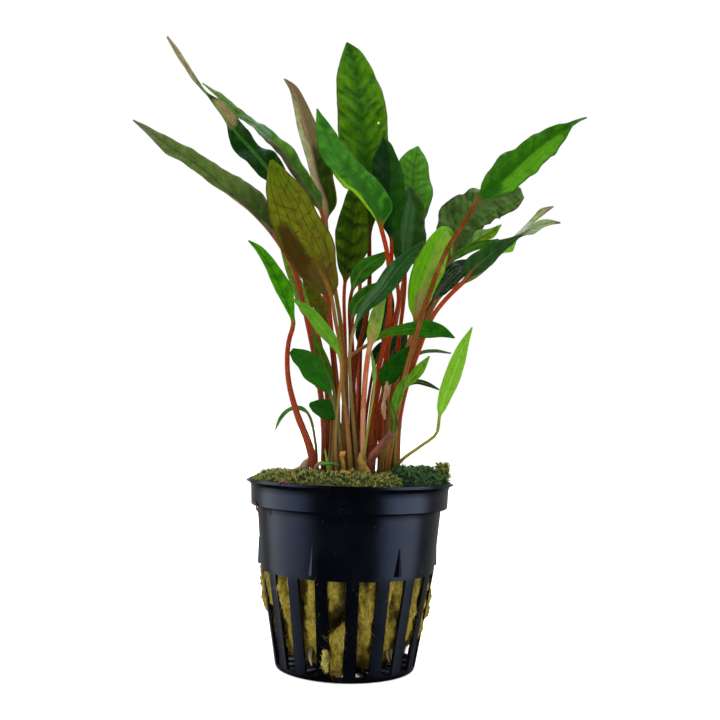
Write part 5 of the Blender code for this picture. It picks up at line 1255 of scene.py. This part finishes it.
def scrap(path, face=TOWARDS_VIEWER, cup=0.5, ragged=0.25, seed=1, thick=0.08):
    """A thin torn strip carried along a line: u from -1 to 1 across it gives u x half width aside and
    cup x half width x (1 - u^2) outwards, with ragged edges; its back is the same, less its thickness."""
    random = np.random.default_rng(seed)
    path, face = np.array(path, float), np.array(face, float)
    run = run_along(path[:, :3])
    at = np.linspace(0, run[-1], max(10, int(run[-1] / SCRAP_STEP)))
    place, way = smooth_path(path, at)
    out = unit(face - way * (way @ face)[:, None])
    side = np.cross(way, out)
    u = SCRAP_CUTS[None, :]
    torn = np.sin(at[:, None] * (2.3, 3.1) + seed) + 0.5 * np.sin(at[:, None] * (7.3, 6.1) + 2 * seed)
    torn = 1 + ragged * (torn + random.normal(0, 0.12, (len(at), 2)))
    half = np.maximum(place[:, 3:4], LEAST_RADIUS) * np.where(u < 0, torn[:, :1], torn[:, 1:])
    rise = cup * half * (1 - u**2)
    front = place[:, None, :3] + side[:, None] * (u * half)[..., None] + out[:, None] * rise[..., None]
    back = front - out[:, None] * thick
    return np.concatenate([front, back[:, ::-1]], axis=1)


def plant_finish(name, main, second, rough=0.5):
    """A plant surface in two colours, in patches and fine streaks."""
    finish, start = new_finish(name)
    place = start.add("ShaderNodeTexCoord", out="Object")
    streak = place.stretch((1, 1, 0.4)).noise(0.9 * MM, 3)
    cloud = place.noise(3 * MM, 3)
    mixed = streak.step(0.35, 0.65) * 0.6 + cloud.step(0.4, 0.65) * 0.4
    end_finish(start, streak, 0.12, Base_Color=mixed.blend(pigment(main), pigment(second)),
               Roughness=rough + cloud * 0.15, Specular_IOR_Level=0.25)
    return finish


def put_rings(name, shapes, finish, slot, node=None):
    """One or more closed tubes or strips as one piece."""
    put(name, *joined(*map(closed, shapes)), finish, slot, node)


def put_fuzzy(name, shape, finish, slot, count, length, seed):
    """A strip or tube with fine strands that stand out from it in all ways, as one piece."""
    random = np.random.default_rng(seed)
    root = shape.reshape(-1, 3)[random.integers(0, shape.size // 3, count)]
    ways = unit(random.normal(size=(count, 3)))
    hair, hair_faces = strands(root, ways, length, FUZZ_RADIUS, lean=0.2, seed=seed)
    points, faces = joined(closed(shape), (hair.reshape(-1, 3), hair_faces))
    put(name, points, faces, finish, slot, depth=np.full(len(points), 0.1))


put_rings(
    "stump_of_cut_stalk",
    [tube([(6.2, -12.1, 44, 0.6), (5.3, -13.9, 52, 0.9), (5.3, -14.8, 55.5, 1.1), (7.5, -16.5, 59, 1.05),
           (10.2, -17.5, 62.5, 0.9)], hollow=1.6)],
    plant_finish("speckled red stalk", (0.17, 0.05, 0.028), (0.07, 0.018, 0.008)), "red_stalk", "cut_stalk")
put_rings(
    "young_green_spike",
    [tube([(-5.3, -12.6, 44, 0.5), (-5.6, -13.4, 52.5, 0.5), (-6.7, -14, 58, 0.12)], spacing=0.5)],
    plant_finish("young green", (0.10, 0.30, 0.008), (0.16, 0.40, 0.02)), "lime_leaf", "young_shoot")
put_rings(
    "dropped_leaf",
    [scrap([(-8.4, -18.9, 54.1, 0.15), (-7, -18.9, 54.5, 0.55), (-5, -18.7, 54.7, 0.6),
            (-2.6, -18.4, 54.2, 0.12)], face=(0, -0.5, 1), cup=0.3, ragged=0.06, seed=5, thick=0.2)],
    plant_finish("glossy dark green", (0.012, 0.05, 0.006), (0.03, 0.13, 0.012), rough=0.35),
    "dark_leaf", "fallen_leaf")
put_rings(
    "papery_sheath",
    [scrap([(3.9, -15.2, 50.8, 1.5), (3.5, -15.7, 53, 1.35), (2.6, -15.9, 55.3, 0.8),
            (2.3, -15.7, 57.4, 0.2)], ragged=0.1, seed=2),
     scrap([(-1.6, -16.6, 51.2, 0.5), (-1.8, -16.8, 54, 0.45), (-2.2, -16.9, 56, 0.5)], ragged=0.1, seed=3),
     scrap([(-8.9, -15.8, 51.5, 0.45), (-8.7, -16, 53.6, 0.4), (-7.9, -16, 54.6, 0.35),
            (-6.8, -15.9, 54.8, 0.15)], ragged=0.1, seed=4)],
    plant_finish("old yellow sheath", (0.30, 0.175, 0.03), (0.15, 0.075, 0.014)), "olive_leaf")
put_rings(
    "orange_scraps",
    [scrap([(-2.5, -17, 56.0, 0.25), (-2.0, -17.1, 57.0, 0.65), (-1.4, -17, 57.6, 0.3)], seed=6),
     scrap([(-2.6, -21.6, 52.3, 0.3), (-1.3, -21.9, 52.7, 0.6), (0.2, -21.6, 52.4, 0.3)],
           face=(0, -0.6, 1), seed=7),
     scrap([(-14.2, -20.2, 51.2, 0.2), (-14.6, -20.6, 52, 0.35), (-14.2, -20.9, 52.6, 0.2)],
           face=(0, -0.6, 1), seed=8)],
    plant_finish("dry orange scraps", (0.55, 0.20, 0.03), (0.30, 0.10, 0.015)), "olive_leaf")
put_rings(
    "withered_scraps",
    [scrap([(9.0, -11.2, 76.0, 0.3), (8.8, -11.2, 73.4, 0.8), (8.3, -11.2, 71.0, 0.5)], ragged=0.12, seed=9),
     scrap([(8.3, -11.2, 71.0, 0.5), (8.2, -11.2, 68.6, 0.7), (8.6, -11.2, 66.0, 0.25)], ragged=0.12,
           seed=10)],
    plant_finish("withered pink scraps", (0.42, 0.24, 0.14), (0.26, 0.11, 0.05)), "pale_leaf")
put_rings(
    "brown_litter",
    [scrap([(-25.5, -9.2, 43.6, 0.3), (-24.7, -10.6, 43.3, 0.35), (-24.0, -12.0, 42.8, 0.2)],
           face=(-0.9, -0.4, 0), seed=11),
     scrap([(-24.2, -11.6, 42.6, 0.35), (-23.3, -12.8, 41.2, 0.4), (-22.9, -13.1, 39.8, 0.15)],
           face=(-0.8, -0.5, 0), seed=12),
     scrap([(-17.9, -20.6, 49.3, 0.3), (-16.8, -21.4, 50.0, 0.45), (-15.4, -22.2, 49.7, 0.25)],
           face=(0, -0.7, 1), seed=13),
     scrap([(-8.5, -25.3, 49.2, 0.15), (-7.0, -25.8, 49.35, 0.25), (-5.8, -26, 49.2, 0.12)],
           face=(0, -0.4, 1), seed=14)],
    plant_finish("glossy brown litter", (0.13, 0.035, 0.015), (0.05, 0.014, 0.006), rough=0.35),
    "red_stalk")
put_rings(
    "loose_fibres",
    [tube([(-17.0, -16.9, 34.6, 0.06), (-15.6, -17.8, 32.4, 0.06), (-14.5, -18.3, 30.6, 0.06),
           (-14.4, -18.1, 28.4, 0.06)], sides=6),
     tube([(-7.7, -19.8, 15.6, 0.07), (-6.9, -20.2, 16.9, 0.07), (-6.1, -20.5, 16.7, 0.07),
           (-5.4, -20.9, 17.6, 0.07)], sides=6)],
    plant_finish("pale fibres", (0.30, 0.32, 0.30), (0.20, 0.22, 0.22)), "rock_wool")
put_rings(
    "root_tips",
    [tube([(-8.4, -13.9, 8.0, 0.55), (-8.9, -15.3, 5.6, 0.5), (-8.3, -15.8, 3.6, 0.15)]),
     tube([(11.5, -12.4, 8, 0.5), (12.1, -13.1, 5, 0.42), (12.0, -12.9, 2.4, 0.12)]),
     tube([(10.6, -12.8, 8, 0.4), (10.8, -13.6, 6, 0.3), (11.3, -13.8, 4.4, 0.1)])],
    plant_finish("pale roots", (0.38, 0.31, 0.18), (0.22, 0.16, 0.08)), "pale_leaf")
put_fuzzy(
    "wool_flake",
    scrap([(-5.2, -20.1, 8.5, 0.45), (-4.8, -20.1, 6.9, 0.95), (-4.9, -19.9, 4.9, 0.85),
           (-4.5, -19.7, 3.0, 0.35)], face=(-0.2, -1, 0), ragged=0.13, seed=15, thick=0.5),
    wool_finish("pale wool flake", (0.58, 0.52, 0.13)), "rock_wool", count=260, length=0.7, seed=16)
put_fuzzy(
    "downy_bud",
    tube([(-12.6, -8.4, 50.0, 1.3), (-12.2, -8.8, 52.4, 1.4), (-11.5, -9, 54.2, 1.0),
          (-10.9, -9, 55.2, 0.3)]),
    plant_finish("downy pink bud", (0.42, 0.33, 0.22), (0.30, 0.15, 0.11)), "pale_leaf",
    count=340, length=1.3, seed=17)

# The tuft is a small dome of the olive moss with long shoots.
TUFT_PLACE = (24.5, -5.0, 50.4)
TUFT_RADIUS = 1.5
TUFT_HEIGHT = 4.2
tuft_up = np.linspace(0, 1, 8)[:, None]
tuft = round_axis(TUFT_RADIUS * np.sqrt(1 - (0.98 * tuft_up)**2), np.linspace(0, TURN, 15)[:-1],
                  TUFT_HEIGHT * tuft_up) + TUFT_PLACE
plant_moss("moss_tuft", tuft, olive_moss, "olive_moss", low=0.3, shade=0.5, count=170, tall=1.2, leafy=0.5,
           seed=18)

# ---------------------------------------------------------------------------------------------
# Studio: a plain pale floor that fades into white, and a soft white tent round the pot with a dark
# gap at the front, where the lens looks in. The gap is why the middle of the black wall stays dark.
# Glossy surfaces mirror two upright soft boxes, at the left and the right, in place of the tent.
FLOOR_REACH = 6.0                         # metres, as are the next two values
EYE = np.array([0.0, -0.260, 0.0662])
AIM = np.array([0.0018, 0.0, 0.0821])
FLOOR_DROP = 0.05 * MM
ROLL = math.radians(1.6)
LENS = 47.55
SENSOR = 36
GAP, LEFT_BOX, RIGHT_BOX = (math.radians(turn) for turn in (10, -84, 70))
TENT_LIGHT = 1.15
GAP_LIGHT = 0.005
BACK_DIMMING = 0.35
TOP_LIGHT = 2.4
LEFT_BOX_LIGHT = 3.0
RIGHT_BOX_LIGHT = 4.2
BACK_LIGHT = 0.3

floor_mesh = bpy.data.meshes.new("floor")
corners = np.array([(-1, -1, 0), (1, -1, 0), (1, 1, 0), (-1, 1, 0)]) * FLOOR_REACH - UP * FLOOR_DROP
floor_mesh.from_pydata(corners.tolist(), [], [(0, 1, 2, 3)])
floor = bpy.data.objects.new("floor", floor_mesh)
bpy.context.scene.collection.objects.link(floor)
pale, start = new_finish("pale floor")
shade = start.add("ShaderNodeBsdfDiffuse", None, {"Color": (0.82, 0.82, 0.82)})
lit = start.add("ShaderNodeEmission", None, {"Color": (1, 1, 1), "Strength": 0.35})
both = start.add("ShaderNodeAddShader", None, {0: shade, 1: lit})
start.add("ShaderNodeOutputMaterial", None, {"Surface": both})
floor_mesh.materials.append(pale)
floor.visible_glossy = False

world = bpy.data.worlds.new("tent")
world.use_nodes = True
world.node_tree.nodes.clear()
start = Wire(world.node_tree)
way = start.add("ShaderNodeTexCoord", out="Generated")
x, y, z = (way.part(axis) for axis in range(3))
level = (x * x + y * y + 1e-4) ** 0.5
gap, left_box, right_box = ((x * math.sin(turn) - y * math.cos(turn)) / level
                            for turn in (GAP, LEFT_BOX, RIGHT_BOX))
top = z.step(0.55, 0.9) * TOP_LIGHT
gap = gap.step(0.70, 0.87) * z.step(0.80, 0.50)
bright = TENT_LIGHT - gap * (TENT_LIGHT - GAP_LIGHT) - y.step(0.1, 0.9) * BACK_DIMMING + top
boxes = left_box.step(0.70, 0.99) * LEFT_BOX_LIGHT + right_box.step(0.80, 1.0) * RIGHT_BOX_LIGHT
boxes = (boxes + y.step(-0.2, 0.4) * BACK_LIGHT) * z.step(-0.62, 0.0) * z.step(0.8, 0.5)
boxes = boxes + z.step(0.5, 0.8) * TENT_LIGHT + top
mirrored = start.add("ShaderNodeLightPath", out="Is Glossy Ray")
strength = bright + mirrored * (boxes - bright)
tent = start.add("ShaderNodeBackground", None, {"Strength": strength, "Color": (1, 1, 1)})
white = start.add("ShaderNodeBackground", None, {"Strength": 1.0, "Color": (1, 1, 1)})
seen = start.add("ShaderNodeLightPath", out="Is Camera Ray")
both = start.add("ShaderNodeMixShader", None, {0: seen, 1: tent, 2: white})
start.add("ShaderNodeOutputWorld", None, {"Surface": both})
bpy.context.scene.world = world
bpy.context.scene.view_settings.view_transform = "Standard"

forward = unit(AIM - EYE)
right = unit(np.cross(forward, UP))
up = np.cross(right, forward)
across = math.cos(ROLL) * right + math.sin(ROLL) * up
upright = math.cos(ROLL) * up - math.sin(ROLL) * right
lens = bpy.data.cameras.new("camera")
lens.lens, lens.sensor_width, lens.clip_start = LENS, SENSOR, 0.005
camera = bpy.data.objects.new("camera", lens)
bpy.context.scene.collection.objects.link(camera)
placed = np.eye(4)
placed[:3] = np.stack([across, upright, -forward, EYE], axis=1)
camera.matrix_world = Matrix(placed.tolist())
bpy.context.scene.camera = camera
